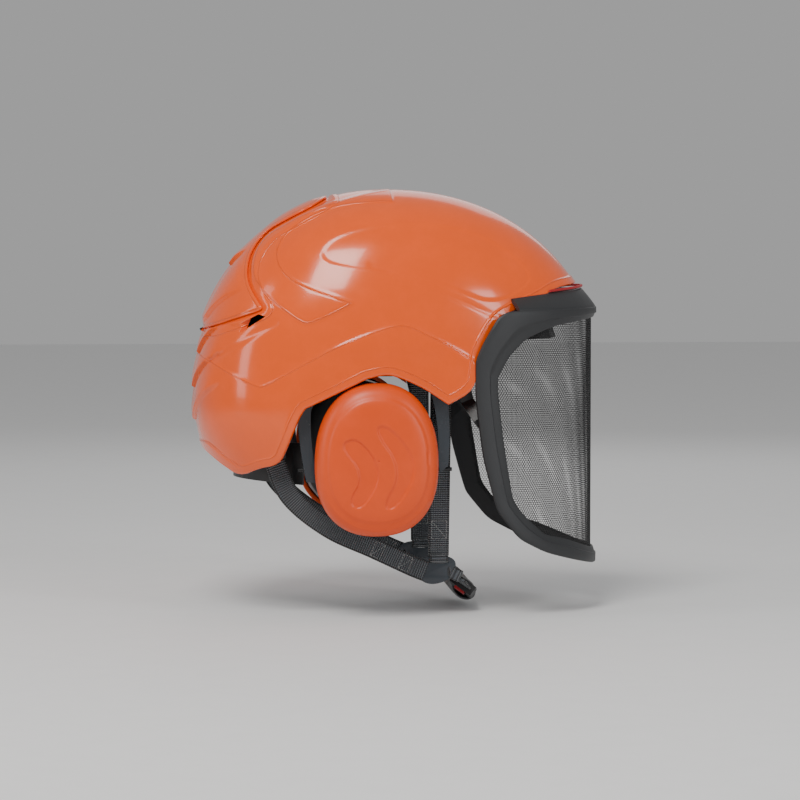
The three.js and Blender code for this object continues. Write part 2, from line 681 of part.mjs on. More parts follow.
function napeBand(outer, thickness, low, high, reach, steps = 24) {
  const rings = [];
  for (let i = 0; i <= steps; i += 1) {
    const a = Math.PI + (i / steps - 0.5) * 2 * reach;
    const drop = 5 * (1 - Math.abs(Math.cos(a)));
    const at = (inset, z) => vector(NAPE_CENTRE_X + (NAPE_HALF_LENGTH - inset) * Math.cos(a),
      (NAPE_HALF_WIDTH - inset) * Math.sin(a), z - drop);
    rings.push([at(outer, low), at(outer + thickness, low), at(outer + thickness, high),
      at(outer, high)]);
  }
  return loft(rings);
}

function napeCradle() {
  const stem = box(STEM_X - 3, STEM_X, -TONGUE_HALF_WIDTH, TONGUE_HALF_WIDTH, -90, TONGUE_Z + 1.1);
  const foot = box(STEM_X - 3, -120.7, -TONGUE_HALF_WIDTH, TONGUE_HALF_WIDTH, -95, -86);
  const tongue = box(STEM_X - 2, GUIDE_X.front + 4, -TONGUE_HALF_WIDTH, TONGUE_HALF_WIDTH,
    TONGUE_Z - 1.1, TONGUE_Z + 1.1);
  const inside = box(NAPE_CENTRE_X - NAPE_HALF_LENGTH + CRADLE_WALL + 0.5, 0, -40, 40, NAPE_LOW - 13, -80);
  return napeBand(0, CRADLE_WALL, NAPE_LOW, NAPE_HIGH, 1.15).add(stem.add(foot).subtract(inside)).add(tongue);
}

function napePad() {
  return napeBand(CRADLE_WALL + GAP, NAPE_PAD_THICKNESS, NAPE_LOW + 2, NAPE_HIGH - 3, 1.08);
}

function napeGuide() {
  const slot = box(-FAR, 0, -TONGUE_HALF_WIDTH - GAP, TONGUE_HALF_WIDTH + GAP,
    TONGUE_Z - 1.1 - GAP, TONGUE_Z + 1.1 + GAP);
  return box(GUIDE_X.rear, GUIDE_X.front, -TONGUE_HALF_WIDTH - 4, TONGUE_HALF_WIDTH + 4,
    TONGUE_Z - 4, REAR_EDGE_Z - GAP).subtract(slot);
}

const DIAL_Z = -74;

function napeDial() {
  const outline = new THREE.Shape();
  const lobes = 20;
  for (let i = 0; i < 2 * lobes; i += 1) {
    const radius = i % 2 ? DIAL_RADIUS - 0.8 : DIAL_RADIUS;
    const a = (i / lobes) * Math.PI;
    const point = [radius * Math.cos(a), radius * Math.sin(a)];
    if (i) {
      outline.lineTo(...point);
    } else {
      outline.moveTo(...point);
    }
  }
  const geometry = new THREE.ExtrudeGeometry(outline, { depth: 7, bevelEnabled: false });
  geometry.rotateY(-Math.PI / 2);
  geometry.translate(STEM_X - 3 - GAP, 0, DIAL_Z);
  return solid(geometry);
}

add("nape_cradle", napeCradle(), "frame");
add("nape_pad", napePad(), "fabric");
add("nape_guide", napeGuide(), "black");
add("nape_dial", napeDial(), "black");

// ---------------------------------------------------------------- straps
const FRONT_STRAP_X = CUP_CENTRE.x + CUP_HALF_LENGTH + 4.7;
const ANCHOR_Y = SHELL_HALF_WIDTH - 30;
const ANCHOR_MARGIN = 2;          // of an anchor beside its strap
const DIVIDER_Y = 62;
const DIVIDER = [[-18.8, -165], [-8.8, -161], [9.7, -161], [14.7, -168], [8.7, -180], [-7.3, -184], [-17.3, -177]]
  .map(([x, z]) => [FRONT_STRAP_X + x, z]);
const DIVIDER_SLOTS = [[0.7 - STRAP_WIDTH / 2, STRAP_WIDTH / 2 - 0.3, -166.5, -164],
  [-14.8, -12.3, -176, -168], [6.9, 9.3, -177, -169.5]]
  .map(([x0, x1, z0, z1]) => [FRONT_STRAP_X + x0, FRONT_STRAP_X + x1, z0, z1]);

function strapDivider() {
  const half = DIVIDER_THICKNESS / 2;
  return DIVIDER_SLOTS.reduce(
    (plate, [x0, x1, z0, z1]) => plate.subtract(box(x0, x1, 0, FAR, z0, z1)),
    sidePlate(DIVIDER, DIVIDER_Y - half, DIVIDER_Y + half));
}

// Distance from the middle plane a share of the way from the divider out to an anchor.
function strapY(anchorY, share) {
  return DIVIDER_Y + (anchorY - DIVIDER_Y) * share;
}

function frontStrap() {
  return ribbon([vector(FRONT_STRAP_X, ANCHOR_Y, -6), vector(FRONT_STRAP_X, strapY(ANCHOR_Y, 14 / 15), -40),
    vector(FRONT_STRAP_X, strapY(ANCHOR_Y, 0.6), -90), vector(FRONT_STRAP_X, strapY(ANCHOR_Y, 0.2), -135),
    vector(FRONT_STRAP_X, DIVIDER_Y, -161 + GAP)], vector(1, 0, 0), STRAP_WIDTH, STRAP_THICKNESS);
}

const REAR_EDGE = { x: -105, z: -84 };    // rear edge of the strap, inside the shell's narrow end
const REAR_EDGE_GAP = 4.05;
const REAR_ANCHOR = {
  x: REAR_EDGE.x + STRAP_WIDTH / 2,
  y: domeHalfWidth(REAR_EDGE.x, REAR_EDGE.z, SHELL_WALL) - REAR_EDGE_GAP,
  z: REAR_EDGE.z,
};

function rearStrap() {
  return ribbon([vector(REAR_ANCHOR.x, REAR_ANCHOR.y, REAR_ANCHOR.z), vector(-84, strapY(REAR_ANCHOR.y, 0.875), -113),
    vector(-54, strapY(REAR_ANCHOR.y, 0.29), -138), vector(-20, strapY(REAR_ANCHOR.y, 0.125), -154),
    vector(FRONT_STRAP_X - 26.8, strapY(REAR_ANCHOR.y, 0.05), -165.6)],
  [vector(1, 0, 0.3), vector(0.7, 0, 0.7), vector(0.4, 0, 1), vector(0.4, 0, 1), vector(0.4, 0, 1)],
  STRAP_WIDTH, STRAP_THICKNESS);
}

function frontAnchor() {
  const y = ANCHOR_Y + STRAP_THICKNESS / 2 + GAP;
  const half = STRAP_WIDTH / 2 + ANCHOR_MARGIN;
  return box(FRONT_STRAP_X - half, FRONT_STRAP_X + half, y, y + 3, -10, 8)
    .add(box(FRONT_STRAP_X - 4, FRONT_STRAP_X + 4, y, y + 3, 8, SIDE_EDGE_Z - GAP));
}

function rearAnchor() {
  const { x, y, z } = REAR_ANCHOR;
  const inner = y + STRAP_THICKNESS / 2 + GAP;
  const rear = x - STRAP_WIDTH / 2 - ANCHOR_MARGIN;
  const front = x + STRAP_WIDTH / 2 + ANCHOR_MARGIN - 1;
  return box(rear, front, inner, SHELL_HALF_WIDTH, z + 1, z + 12)
    .intersect(dome(axes(SHELL_WALL + GAP)))
    .intersect(box(rear, front, inner, inner + 5, z + 1, z + 12));
}

addPair("front_strap", frontStrap(), "webbing");
addPair("rear_strap", rearStrap(), "webbing");
addPair("strap_divider", strapDivider(), "black");
addPair("front_anchor", frontAnchor(), "black");
addPair("rear_anchor", rearAnchor(), "black");

// ---------------------------------------------------------------- chin strap and buckle
// The chin strap runs forward from each divider and under the chin.
const CHIN_WIDE = vector(0.8, 0, -0.62);
const BUCKLE_WIDTH = 20;
const BUCKLE_THICKNESS = 6;

const BUCKLE_START = vector(FRONT_STRAP_X + 20.5, -50, -184.3);
const BUCKLE_END = vector(FRONT_STRAP_X + 26, -14.6, -192.3);
const BUCKLE_LINE = new THREE.Vector3().subVectors(BUCKLE_END, BUCKLE_START).normalize();

function alongBuckle(from, distance) {
  return from.clone().addScaledVector(BUCKLE_LINE, distance);
}

function between(from, to, share) {
  return new THREE.Vector3().lerpVectors(from, to, share);
}

const BUCKLE_JOIN = between(BUCKLE_START, BUCKLE_END, 0.48);

function chinStrapLeft() {
  return ribbon([vector(FRONT_STRAP_X + 15.7, DIVIDER_Y - 3, -178.5), vector(FRONT_STRAP_X + 20.7, 50, -184),
    vector(FRONT_STRAP_X + 24.7, 32, -190), vector(FRONT_STRAP_X + 26.7, 12, -193), alongBuckle(BUCKLE_END, 6), alongBuckle(BUCKLE_END, GAP)],
  CHIN_WIDE, STRAP_WIDTH, STRAP_THICKNESS);
}

function chinStrapRight() {
  return ribbon([vector(FRONT_STRAP_X + 15.7, 3 - DIVIDER_Y, -178.5), alongBuckle(BUCKLE_START, -4),
    alongBuckle(BUCKLE_START, -GAP)], CHIN_WIDE, STRAP_WIDTH, STRAP_THICKNESS);
}

function blockAlong(from, to, width, thickness) {
  return ribbon([from, to], CHIN_WIDE, width, thickness);
}

// The button sits in a pocket in the lower face of the buckle's socket.
function buttonFrame() {
  const along = BUCKLE_LINE;
  const wide = CHIN_WIDE.clone().addScaledVector(along, -CHIN_WIDE.dot(along)).normalize();
  const out = new THREE.Vector3().crossVectors(along, wide).normalize();
  if (out.z > 0) {
    out.negate();
  }
  return { along, out };
}

function buttonBlock(size, from, to) {
  const { along, out } = buttonFrame();
  const centre = between(BUCKLE_START, BUCKLE_JOIN, 0.5);
  const points = [from, to].map((d) => centre.clone().addScaledVector(out, d));
  return ribbon(points, along, size, size);
}

function buckleFemale() {
  return blockAlong(BUCKLE_START, BUCKLE_JOIN, BUCKLE_WIDTH, BUCKLE_THICKNESS + 2)
    .subtract(buttonBlock(9 + 2 * RUN, 0.4, 8));
}

function buckleMale() {
  return blockAlong(alongBuckle(BUCKLE_JOIN, GAP), BUCKLE_END, BUCKLE_WIDTH - 2, BUCKLE_THICKNESS);
}

add("chin_strap_left", chinStrapLeft(), "webbing");
add("chin_strap_right", chinStrapRight(), "webbing");
add("buckle_female", buckleFemale(), "black");
add("buckle_male", buckleMale(), "black");
add("buckle_button", buttonBlock(9, 2.4, 5.6), "red");

export default hat;
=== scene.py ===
"""Forestry hard hat: fine surfaces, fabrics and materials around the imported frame. Metres."""
import math

import bmesh
import bpy
import numpy as np
from bpy.props import FloatProperty, FloatVectorProperty, IntProperty, PointerProperty
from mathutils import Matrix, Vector


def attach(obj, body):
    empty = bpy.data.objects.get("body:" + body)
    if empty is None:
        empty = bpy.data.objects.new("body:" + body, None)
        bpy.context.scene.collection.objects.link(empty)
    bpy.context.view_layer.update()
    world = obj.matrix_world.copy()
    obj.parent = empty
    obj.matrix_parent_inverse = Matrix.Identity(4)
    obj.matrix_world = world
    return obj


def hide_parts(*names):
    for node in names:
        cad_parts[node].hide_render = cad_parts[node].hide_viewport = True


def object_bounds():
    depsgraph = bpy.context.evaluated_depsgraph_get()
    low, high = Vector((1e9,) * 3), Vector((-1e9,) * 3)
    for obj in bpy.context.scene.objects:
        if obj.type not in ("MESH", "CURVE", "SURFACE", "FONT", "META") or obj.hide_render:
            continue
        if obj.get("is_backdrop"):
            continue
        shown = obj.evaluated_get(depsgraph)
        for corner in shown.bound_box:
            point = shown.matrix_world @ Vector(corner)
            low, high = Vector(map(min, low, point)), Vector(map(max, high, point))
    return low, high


bl_info = {
    "name": "Forestry Hard Hat",
    "version": (1, 0, 0),
    "blender": (4, 5, 0),
    "location": "3D View > Sidebar > Hard Hat",
    "description": "Builds the shell, visor, ear muffs, harness and stage of a forestry hard hat",
    "category": "Object",
}

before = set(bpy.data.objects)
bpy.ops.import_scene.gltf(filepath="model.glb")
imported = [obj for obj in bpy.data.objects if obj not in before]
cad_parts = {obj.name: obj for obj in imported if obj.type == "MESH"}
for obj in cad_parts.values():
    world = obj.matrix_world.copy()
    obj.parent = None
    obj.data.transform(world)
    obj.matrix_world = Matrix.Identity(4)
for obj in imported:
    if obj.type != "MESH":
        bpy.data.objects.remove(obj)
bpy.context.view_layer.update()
MM = 0.001
SIDES = (("left", 1), ("right", -1))

# The dome that the shell is shaped on, as the frame has it (millimetres).
CENTRE_X, CENTRE_Z = -4.0, -43.0
DOME = {"front": 175.0, "rear": 149.0, "crown": 165.5, "below": 110.0, "side": 107.0}
SIDE_POWER = 2.15
CROSS_POWER = 2.4
PLAN_TAPER = 0.0005
SHELL_WALL = 2.8
COVER_GAP = 0.3
COVER_WALL = 2.2

# Plan curve of the visor.
VISOR_ROOT_X, VISOR_FRONT_X, VISOR_SIDE_Y, VISOR_POWER = 30.0, 163.0, 104.0, 2.15
VISOR_TOP_Z, BAND_RISE, BAND_GAP, BAND_NARROWING = 31.0, 15.0, 2.4, 0.86

# Ear cups.
CUP_X, CUP_Z, CUP_HALF_X, CUP_HALF_Z, CUP_POWER = -20.4, -83.5, 47.0, 58.3, 2.3


# ------------------------------------------------------------------ settings
class ShellSettings(bpy.types.PropertyGroup):
    colour: FloatVectorProperty(name="Shell colour", description="Base colour of the glossy shell",
                                subtype="COLOR", size=3, default=(0.90, 0.098, 0.0), min=0, max=1)
    relief: FloatProperty(name="Relief", description="Height of the shell's ribs and ledges",
                          default=1.1, min=0, max=4)
    around: IntProperty(name="Rings", description="Steps round the dome", default=340, min=40, max=600)


class VisorSettings(bpy.types.PropertyGroup):
    row_pitch: FloatProperty(name="Row pitch", description="Distance between rows of mesh, mm",
                             default=1.7, min=1, max=6)
    wire: FloatProperty(name="Wire radius", description="Radius of the mesh wires, mm",
                        default=0.21, min=0.1, max=1)


class CupSettings(bpy.types.PropertyGroup):
    colour: FloatVectorProperty(name="Cup colour", description="Base colour of the ear cup covers",
                                subtype="COLOR", size=3, default=(0.80, 0.072, 0.0), min=0, max=1)
    recess: FloatProperty(name="Recess", description="Depth of the chevrons in the covers, mm",
                          default=2.1, min=0, max=3)


class HarnessSettings(bpy.types.PropertyGroup):
    width: FloatProperty(name="Webbing width", description="Width of the straps, mm",
                         default=16, min=8, max=25)
    thickness: FloatProperty(name="Webbing thickness", description="Thickness of the straps, mm",
                             default=1.7, min=0.8, max=4)


class StageSettings(bpy.types.PropertyGroup):
    lens: FloatProperty(name="Lens", description="Focal length of the camera", default=142.4,
                        min=20, max=300, subtype="DISTANCE_CAMERA")
    azimuth: FloatProperty(name="Azimuth", description="Turn of the camera about the hat",
                           default=math.radians(-6), subtype="ANGLE")
    elevation: FloatProperty(name="Elevation", description="Height angle of the camera",
                             default=math.radians(3), subtype="ANGLE")


# ------------------------------------------------------------------ shader groups
def new_group(name, inputs, outputs):
    """A shader node group with float inputs (name, default) and outputs (name, socket type)."""
    group = bpy.data.node_groups.new(name, "ShaderNodeTree")
    for label, default in inputs:
        socket = group.interface.new_socket(label, in_out="INPUT", socket_type="NodeSocketFloat")
        socket.default_value = default
    for label, kind in outputs:
        group.interface.new_socket(label, in_out="OUTPUT", socket_type=kind)
    return group, group.nodes.new("NodeGroupInput"), group.nodes.new("NodeGroupOutput")


def node(tree, kind, **settings):
    made = tree.nodes.new(kind)
    for key, value in settings.items():
        if key in made.inputs:
            made.inputs[key].default_value = value
        else:
            setattr(made, key, value)
    return made


def math_node(tree, operation, a, b=0.5):
    made = node(tree, "ShaderNodeMath", operation=operation)
    for index, value in enumerate((a, b)):
        if isinstance(value, bpy.types.NodeSocket):
            tree.links.new(value, made.inputs[index])
        else:
            made.inputs[index].default_value = value
    return made.outputs[0]


def grain_group():
    """Moulded grain with faint scuffs: a height for bump and a mask for roughness."""
    group, start, end = new_group("MouldedGrain", (("Scale", 900.0), ("Scuff Scale", 40.0)),
                                  (("Height", "NodeSocketFloat"), ("Scuffs", "NodeSocketFloat")))
    place = node(group, "ShaderNodeTexCoord")
    fine = node(group, "ShaderNodeTexNoise", Detail=3.0)
    scuff = node(group, "ShaderNodeTexNoise", Detail=8.0, Roughness=0.7)
    ramp = node(group, "ShaderNodeMapRange")
    ramp.inputs["From Min"].default_value = 0.45
    ramp.inputs["From Max"].default_value = 0.75
    links = group.links
    links.new(place.outputs["Object"], fine.inputs["Vector"])
    links.new(place.outputs["Object"], scuff.inputs["Vector"])
    links.new(start.outputs["Scale"], fine.inputs["Scale"])
    links.new(start.outputs["Scuff Scale"], scuff.inputs["Scale"])
    links.new(fine.outputs["Fac"], end.inputs["Height"])
    links.new(scuff.outputs["Fac"], ramp.inputs["Value"])
    links.new(ramp.outputs["Result"], end.inputs["Scuffs"])
    return group


def webbing_group():
    """Ribs across a strap and yarn along it, read from the strap's own UV map (u along, v across), and a
    mask of the strap's rolled edges, where shade is painted.
    """
    group, start, end = new_group("WovenWebbing", (("Ribs", 1.0), ("Yarns", 1.0)),
                                  (("Height", "NodeSocketFloat"), ("PaintedEdgeShade", "NodeSocketFloat")))
    place = node(group, "ShaderNodeTexCoord")
    split = node(group, "ShaderNodeSeparateXYZ")
    group.links.new(place.outputs["UV"], split.inputs["Vector"])
    along = math_node(group, "SINE", math_node(group, "MULTIPLY", split.outputs["X"],
                                               start.outputs["Ribs"]))
    across = math_node(group, "SINE", math_node(group, "MULTIPLY", split.outputs["Y"],
                                                start.outputs["Yarns"]))
    weave = math_node(group, "MULTIPLY", across, 0.35)
    group.links.new(math_node(group, "ADD", along, weave), end.inputs["Height"])
    # the rolled edges of the strap, which the webbing material paints dark as shade
    off_centre = math_node(group, "ABSOLUTE", math_node(group, "SUBTRACT", split.outputs["Y"], 0.5))
    group.links.new(math_node(group, "GREATER_THAN", off_centre, 0.4), end.inputs["PaintedEdgeShade"])
    return group


def knit_group():
    """A fine knit in two mottled yarns: height, and a mask between light and dark yarn."""
    group, start, end = new_group("MarlKnit", (("Scale", 700.0),),
                                  (("Height", "NodeSocketFloat"), ("Marl", "NodeSocketFloat")))
    place = node(group, "ShaderNodeTexCoord")
    wave = node(group, "ShaderNodeTexWave", Distortion=2.0)
    cells = node(group, "ShaderNodeTexVoronoi")
    mottle = node(group, "ShaderNodeTexNoise", Detail=6.0, Roughness=0.8)
    for texture in (wave, cells, mottle):
        group.links.new(place.outputs["Object"], texture.inputs["Vector"])
        group.links.new(start.outputs["Scale"], texture.inputs["Scale"])
    height = math_node(group, "MULTIPLY", wave.outputs["Fac"], cells.outputs["Distance"])
    group.links.new(height, end.inputs["Height"])
    group.links.new(mottle.outputs["Fac"], end.inputs["Marl"])
    return group


CREASE_NAMES = ("crease_fin", "crease_belt", "crease_edge", "crease_rim")


def crease_group():
    """A fine raised line where the vertex attributes of signed distance pass through 0."""
    group, start, end = new_group("CreaseLine", (("Width", 0.0009),), (("Height", "NodeSocketFloat"),))
    nearest = 1.0
    for name in CREASE_NAMES:
        distance = node(group, "ShaderNodeAttribute", attribute_name=name)
        size = math_node(group, "ABSOLUTE", distance.outputs["Fac"])
        nearest = math_node(group, "MINIMUM", size, nearest)
    share = math_node(group, "DIVIDE", nearest, start.outputs["Width"])
    near = math_node(group, "MAXIMUM", math_node(group, "SUBTRACT", 1.0, share), 0.0)
    group.links.new(math_node(group, "MULTIPLY", near, near), end.inputs["Height"])
    return group


GROUPS = {}


def group(name):
    makers = {"grain": grain_group, "webbing": webbing_group, "knit": knit_group,
              "crease": crease_group}
    if name not in GROUPS:
        GROUPS[name] = makers[name]()
    return GROUPS[name]


# ------------------------------------------------------------------ materials
def base_material(name, sockets):
    material = bpy.data.materials.new(name)
    material.use_nodes = True
    tree = material.node_tree
    shader = tree.nodes["Principled BSDF"]
    for key, value in sockets.items():
        shader.inputs[key].default_value = value
    return material, tree, shader


def mix_colours(tree, mask, first, second, target):
    mixer = node(tree, "ShaderNodeMix", data_type="RGBA")
    mixer.inputs[6].default_value = (*first, 1)
    mixer.inputs[7].default_value = (*second, 1)
    tree.links.new(mask, mixer.inputs[0])
    tree.links.new(mixer.outputs[2], target)


def map_value(tree, source, low, high, target):
    ramp = node(tree, "ShaderNodeMapRange")
    ramp.inputs["To Min"].default_value = low
    ramp.inputs["To Max"].default_value = high
    tree.links.new(source, ramp.inputs["Value"])
    tree.links.new(ramp.outputs["Result"], target)


def add_bump(tree, height, shader, strength, distance):
    bump = node(tree, "ShaderNodeBump", Strength=strength, Distance=distance)
    tree.links.new(height, bump.inputs["Height"])
    tree.links.new(bump.outputs["Normal"], shader.inputs["Normal"])


def moulded_plastic(name, colour, roughness, grain=900.0, bump=0.12, worn=None, coat=0.0, spread=0.1):
    """Moulded plastic whose roughness and colour vary with faint scuffs."""
    material, tree, shader = base_material(name, {
        "Coat Weight": coat, "Coat Roughness": 0.06, "Specular IOR Level": 0.5})
    texture = node(tree, "ShaderNodeGroup", node_tree=group("grain"))
    texture.inputs["Scale"].default_value = grain
    worn = worn or tuple(min(1, c * 1.06 + 0.002) for c in colour)
    mix_colours(tree, texture.outputs["Scuffs"], colour, worn, shader.inputs["Base Color"])
    map_value(tree, texture.outputs["Scuffs"], roughness, roughness + spread,
              shader.inputs["Roughness"])
    add_bump(tree, texture.outputs["Height"], shader, bump, 0.00012)
    return material


def creased_plastic(name, colour):
    """Glossy moulded plastic with crisp lines along its creases."""
    material = moulded_plastic(name, colour, 0.17, grain=260.0, bump=0.02, coat=0.4, spread=0.06)
    tree = material.node_tree
    shader = tree.nodes["Principled BSDF"]
    grain_bump = shader.inputs["Normal"].links[0].from_node
    line = node(tree, "ShaderNodeGroup", node_tree=group("crease"))
    bump = node(tree, "ShaderNodeBump", Strength=1.0, Distance=0.0005)
    tree.links.new(line.outputs["Height"], bump.inputs["Height"])
    tree.links.new(grain_bump.outputs["Normal"], bump.inputs["Normal"])
    tree.links.new(bump.outputs["Normal"], shader.inputs["Normal"])
    return material


def woven_webbing(name, colour, edge):
    material, tree, shader = base_material(name, {
        "Roughness": 0.7, "Sheen Weight": 0.4, "Sheen Roughness": 0.4})
    texture = node(tree, "ShaderNodeGroup", node_tree=group("webbing"))
    texture.inputs["Ribs"].default_value = 2 * math.pi / 0.0017
    texture.inputs["Yarns"].default_value = 2 * math.pi * 9
    # Painted shade: the colour darkens to `edge` in the valleys between the ribs and on the rolled edges
    # of the strap.
    painted_groove_shade = node(tree, "ShaderNodeMapRange")
    painted_groove_shade.inputs["From Min"].default_value = -1.2
    painted_groove_shade.inputs["From Max"].default_value = 0.6
    tree.links.new(texture.outputs["Height"], painted_groove_shade.inputs["Value"])
    both = math_node(tree, "SUBTRACT", painted_groove_shade.outputs["Result"], texture.outputs["PaintedEdgeShade"])
    mask = math_node(tree, "MAXIMUM", both, 0.0)
    mix_colours(tree, mask, edge, colour, shader.inputs["Base Color"])
    add_bump(tree, texture.outputs["Height"], shader, 1.0, 0.0009)
    return material


def knitted(name, light, dark, scale=700.0):
    material, tree, shader = base_material(name, {
        "Roughness": 0.95, "Sheen Weight": 0.5, "Sheen Roughness": 0.6})
    texture = node(tree, "ShaderNodeGroup", node_tree=group("knit"))
    texture.inputs["Scale"].default_value = scale
    mix_colours(tree, texture.outputs["Marl"], dark, light, shader.inputs["Base Color"])
    add_bump(tree, texture.outputs["Height"], shader, 0.8, 0.0006)
    return material


def turned_steel(name):
    material, tree, shader = base_material(name, {"Metallic": 1.0, "Base Color": (0.6, 0.6, 0.62, 1)})
    texture = node(tree, "ShaderNodeGroup", node_tree=group("grain"))
    map_value(tree, texture.outputs["Scuffs"], 0.22, 0.45, shader.inputs["Roughness"])
    return material


MATERIALS = {}


def material(name):
    """The finish called `name`, made once."""
    scene = bpy.context.scene
    makers = {
        "shell": lambda: creased_plastic("shell_orange", tuple(scene.hat_shell.colour)),
        "cup": lambda: moulded_plastic("cup_orange", tuple(scene.hat_cup.colour), 0.36,
                                       grain=1500.0, bump=0.16),
        "frame": lambda: moulded_plastic("frame_plastic", (0.022, 0.023, 0.025), 0.48,
                                         grain=1400.0, bump=0.2),
        "black": lambda: moulded_plastic("black_plastic", (0.010, 0.010, 0.011), 0.38),
        "gloss_black": lambda: moulded_plastic("gloss_black_plastic", (0.007, 0.007, 0.008), 0.18),
        "yoke": lambda: moulded_plastic("yoke_plastic", (0.036, 0.044, 0.054), 0.24, bump=0.05),
        "mesh": lambda: moulded_plastic("visor_mesh", (0.012, 0.012, 0.013), 0.42),
        "lip": lambda: moulded_plastic("red_lip", (0.42, 0.006, 0.012), 0.45, grain=700.0),
        "liner": lambda: moulded_plastic("liner_foam", (0.02, 0.02, 0.022), 0.8, grain=420.0,
                                         bump=0.7),
        "foam": lambda: knitted("acoustic_foam", (0.07, 0.07, 0.075), (0.02, 0.02, 0.022), 420.0),
        "leatherette": lambda: moulded_plastic("cushion_skin", (0.011, 0.011, 0.012), 0.42,
                                               grain=520.0, bump=0.5),
        "knit": lambda: knitted("pad_fabric", (0.36, 0.37, 0.39), (0.05, 0.052, 0.058)),
        "knit_dark": lambda: knitted("sleeve_fabric", (0.06, 0.06, 0.065), (0.015, 0.015, 0.017)),
        # the second colour is painted shade, laid in the rib valleys and on the rolled edges of the straps
        "webbing": lambda: woven_webbing("webbing", (0.12, 0.135, 0.155), (0.012, 0.013, 0.016)),
        "thread": lambda: knitted("thread", (0.42, 0.42, 0.42), (0.2, 0.2, 0.2), 1500.0),
        "steel": lambda: turned_steel("steel"),
    }
    if name not in MATERIALS:
        MATERIALS[name] = makers[name]()
    return MATERIALS[name]


# ------------------------------------------------------------------ mesh helpers
def finish_piece(piece, body, finish, replaces=()):
    piece.data.materials.clear()
    piece.data.materials.append(material(finish))
    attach(piece, body)
    if replaces:
        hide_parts(*replaces)
    return piece


def mesh_object(name, points, faces, smooth=True):
    """An object from points in millimetres, with its faces turned outwards."""
    mesh = bpy.data.meshes.new(name)
    mesh.from_pydata([(x * MM, y * MM, z * MM) for x, y, z in points], [], faces)
    mesh.update()
    made = bpy.data.objects.new(name, mesh)
    bpy.context.collection.objects.link(made)
    face_outwards(made)
    if smooth:
        smooth_by_angle(made)
    return made


def face_outwards(made):
    work = bmesh.new()
    work.from_mesh(made.data)
    bmesh.ops.remove_doubles(work, verts=work.verts, dist=1e-6)
    bmesh.ops.recalc_face_normals(work, faces=work.faces)
    if work.calc_volume(signed=True) < 0:
        bmesh.ops.reverse_faces(work, faces=work.faces)
    work.to_mesh(made.data)
    work.free()


def smooth_all(made):
    for polygon in made.data.polygons:
        polygon.use_smooth = True
    return made


def smooth_by_angle(made, degrees=32):
    smooth_all(made)
    made.data.set_sharp_from_angle(angle=math.radians(degrees))


def lofted(rings, closed=False):
    """Points and faces of a tube through equal rings; an open tube gets flat ends."""
    count = len(rings[0])
    points = [tuple(point) for ring in rings for point in ring]
    faces = []
    total = len(rings) if closed else len(rings) - 1
    for ring in range(total):
        low, high = ring * count, ((ring + 1) % len(rings)) * count
        for i in range(count):
            j = (i + 1) % count
            faces.append((low + i, low + j, high + j, high + i))
    if not closed:
        faces.append(tuple(range(count - 1, -1, -1)))
        faces.append(tuple(range((len(rings) - 1) * count, len(rings) * count)))
    return points, faces


def grid_faces(base, rows, width, flip=False):
    """Quads over rows of `width` points that start at the point `base`."""
    faces = []
    for i in range(rows - 1):
        for j in range(width - 1):
            a = base + i * width + j
            quad = (a, a + 1, a + width + 1, a + width)
            faces.append(quad[::-1] if flip else quad)
    return faces


def catmull(points, steps):
    """A smooth curve through the points, `steps` samples between each pair."""
    points = np.asarray(points, float)
    padded = np.vstack([2 * points[0] - points[1], points, 2 * points[-1] - points[-2]])
    out = []
    for i in range(1, len(padded) - 2):
        p0, p1, p2, p3 = padded[i - 1:i + 3]
        for t in np.arange(steps) / steps:
            out.append(0.5 * (2 * p1 + (p2 - p0) * t + (2 * p0 - 5 * p1 + 4 * p2 - p3) * t ** 2
                              + (3 * p1 - p0 - 3 * p2 + p3) * t ** 3))
    out.append(points[-1])
    return np.array(out)


def lengths_along(points):
    """Distance along a line to each of its points."""
    return np.r_[0, np.cumsum(np.linalg.norm(np.diff(points, axis=0), axis=1))]


def resample(points, count):
    """The line again, as `count` evenly spaced points."""
    points = np.asarray(points, float)
    lengths = lengths_along(points)
    wanted = np.linspace(0, lengths[-1], count)
    return np.column_stack([np.interp(wanted, lengths, points[:, k]) for k in range(points.shape[1])])


def prism(name, outline, low=-150.0, high=150.0, axis="Y"):
    """A solid between two values of Y with an outline of (x, z) points, or of X with (y, z)."""
    count = len(outline)
    points = [(a, side, b) if axis == "Y" else (side, a, b)
              for side in (low, high) for a, b in outline]
    faces = [tuple(range(count)), tuple(range(2 * count - 1, count - 1, -1))]
    for i in range(count):
        j = (i + 1) % count
        faces.append((i, j, count + j, count + i))
    return mesh_object(name, points, faces, smooth=False)


def boolean(target, cutter, operation):
    change = target.modifiers.new("cut", "BOOLEAN")
    change.operation = operation
    change.object = cutter
    change.solver = "MANIFOLD"
    apply_modifiers(target)
    bpy.data.objects.remove(cutter)


def apply_modifiers(made):
    graph = bpy.context.evaluated_depsgraph_get()
    mesh = bpy.data.meshes.new_from_object(made.evaluated_get(graph))
    made.modifiers.clear()
    made.data = mesh


def bevel(made, width, segments=2, angle=35):
    change = made.modifiers.new("soft_edges", "BEVEL")
    change.width = width * MM
    change.segments = segments
    change.limit_method = "ANGLE"
    change.angle_limit = math.radians(angle)
    change.harden_normals = False
    apply_modifiers(made)
    smooth_by_angle(made)


def join(name, objects):
    """One object from several, in the first one's place."""
    work = bmesh.new()
    for made in objects:
        work.from_mesh(made.data)
        bpy.data.objects.remove(made)
    mesh = bpy.data.meshes.new(name)
    work.to_mesh(mesh)
    work.free()
    made = bpy.data.objects.new(name, mesh)
    bpy.context.collection.objects.link(made)
    smooth_by_angle(made)
    return made


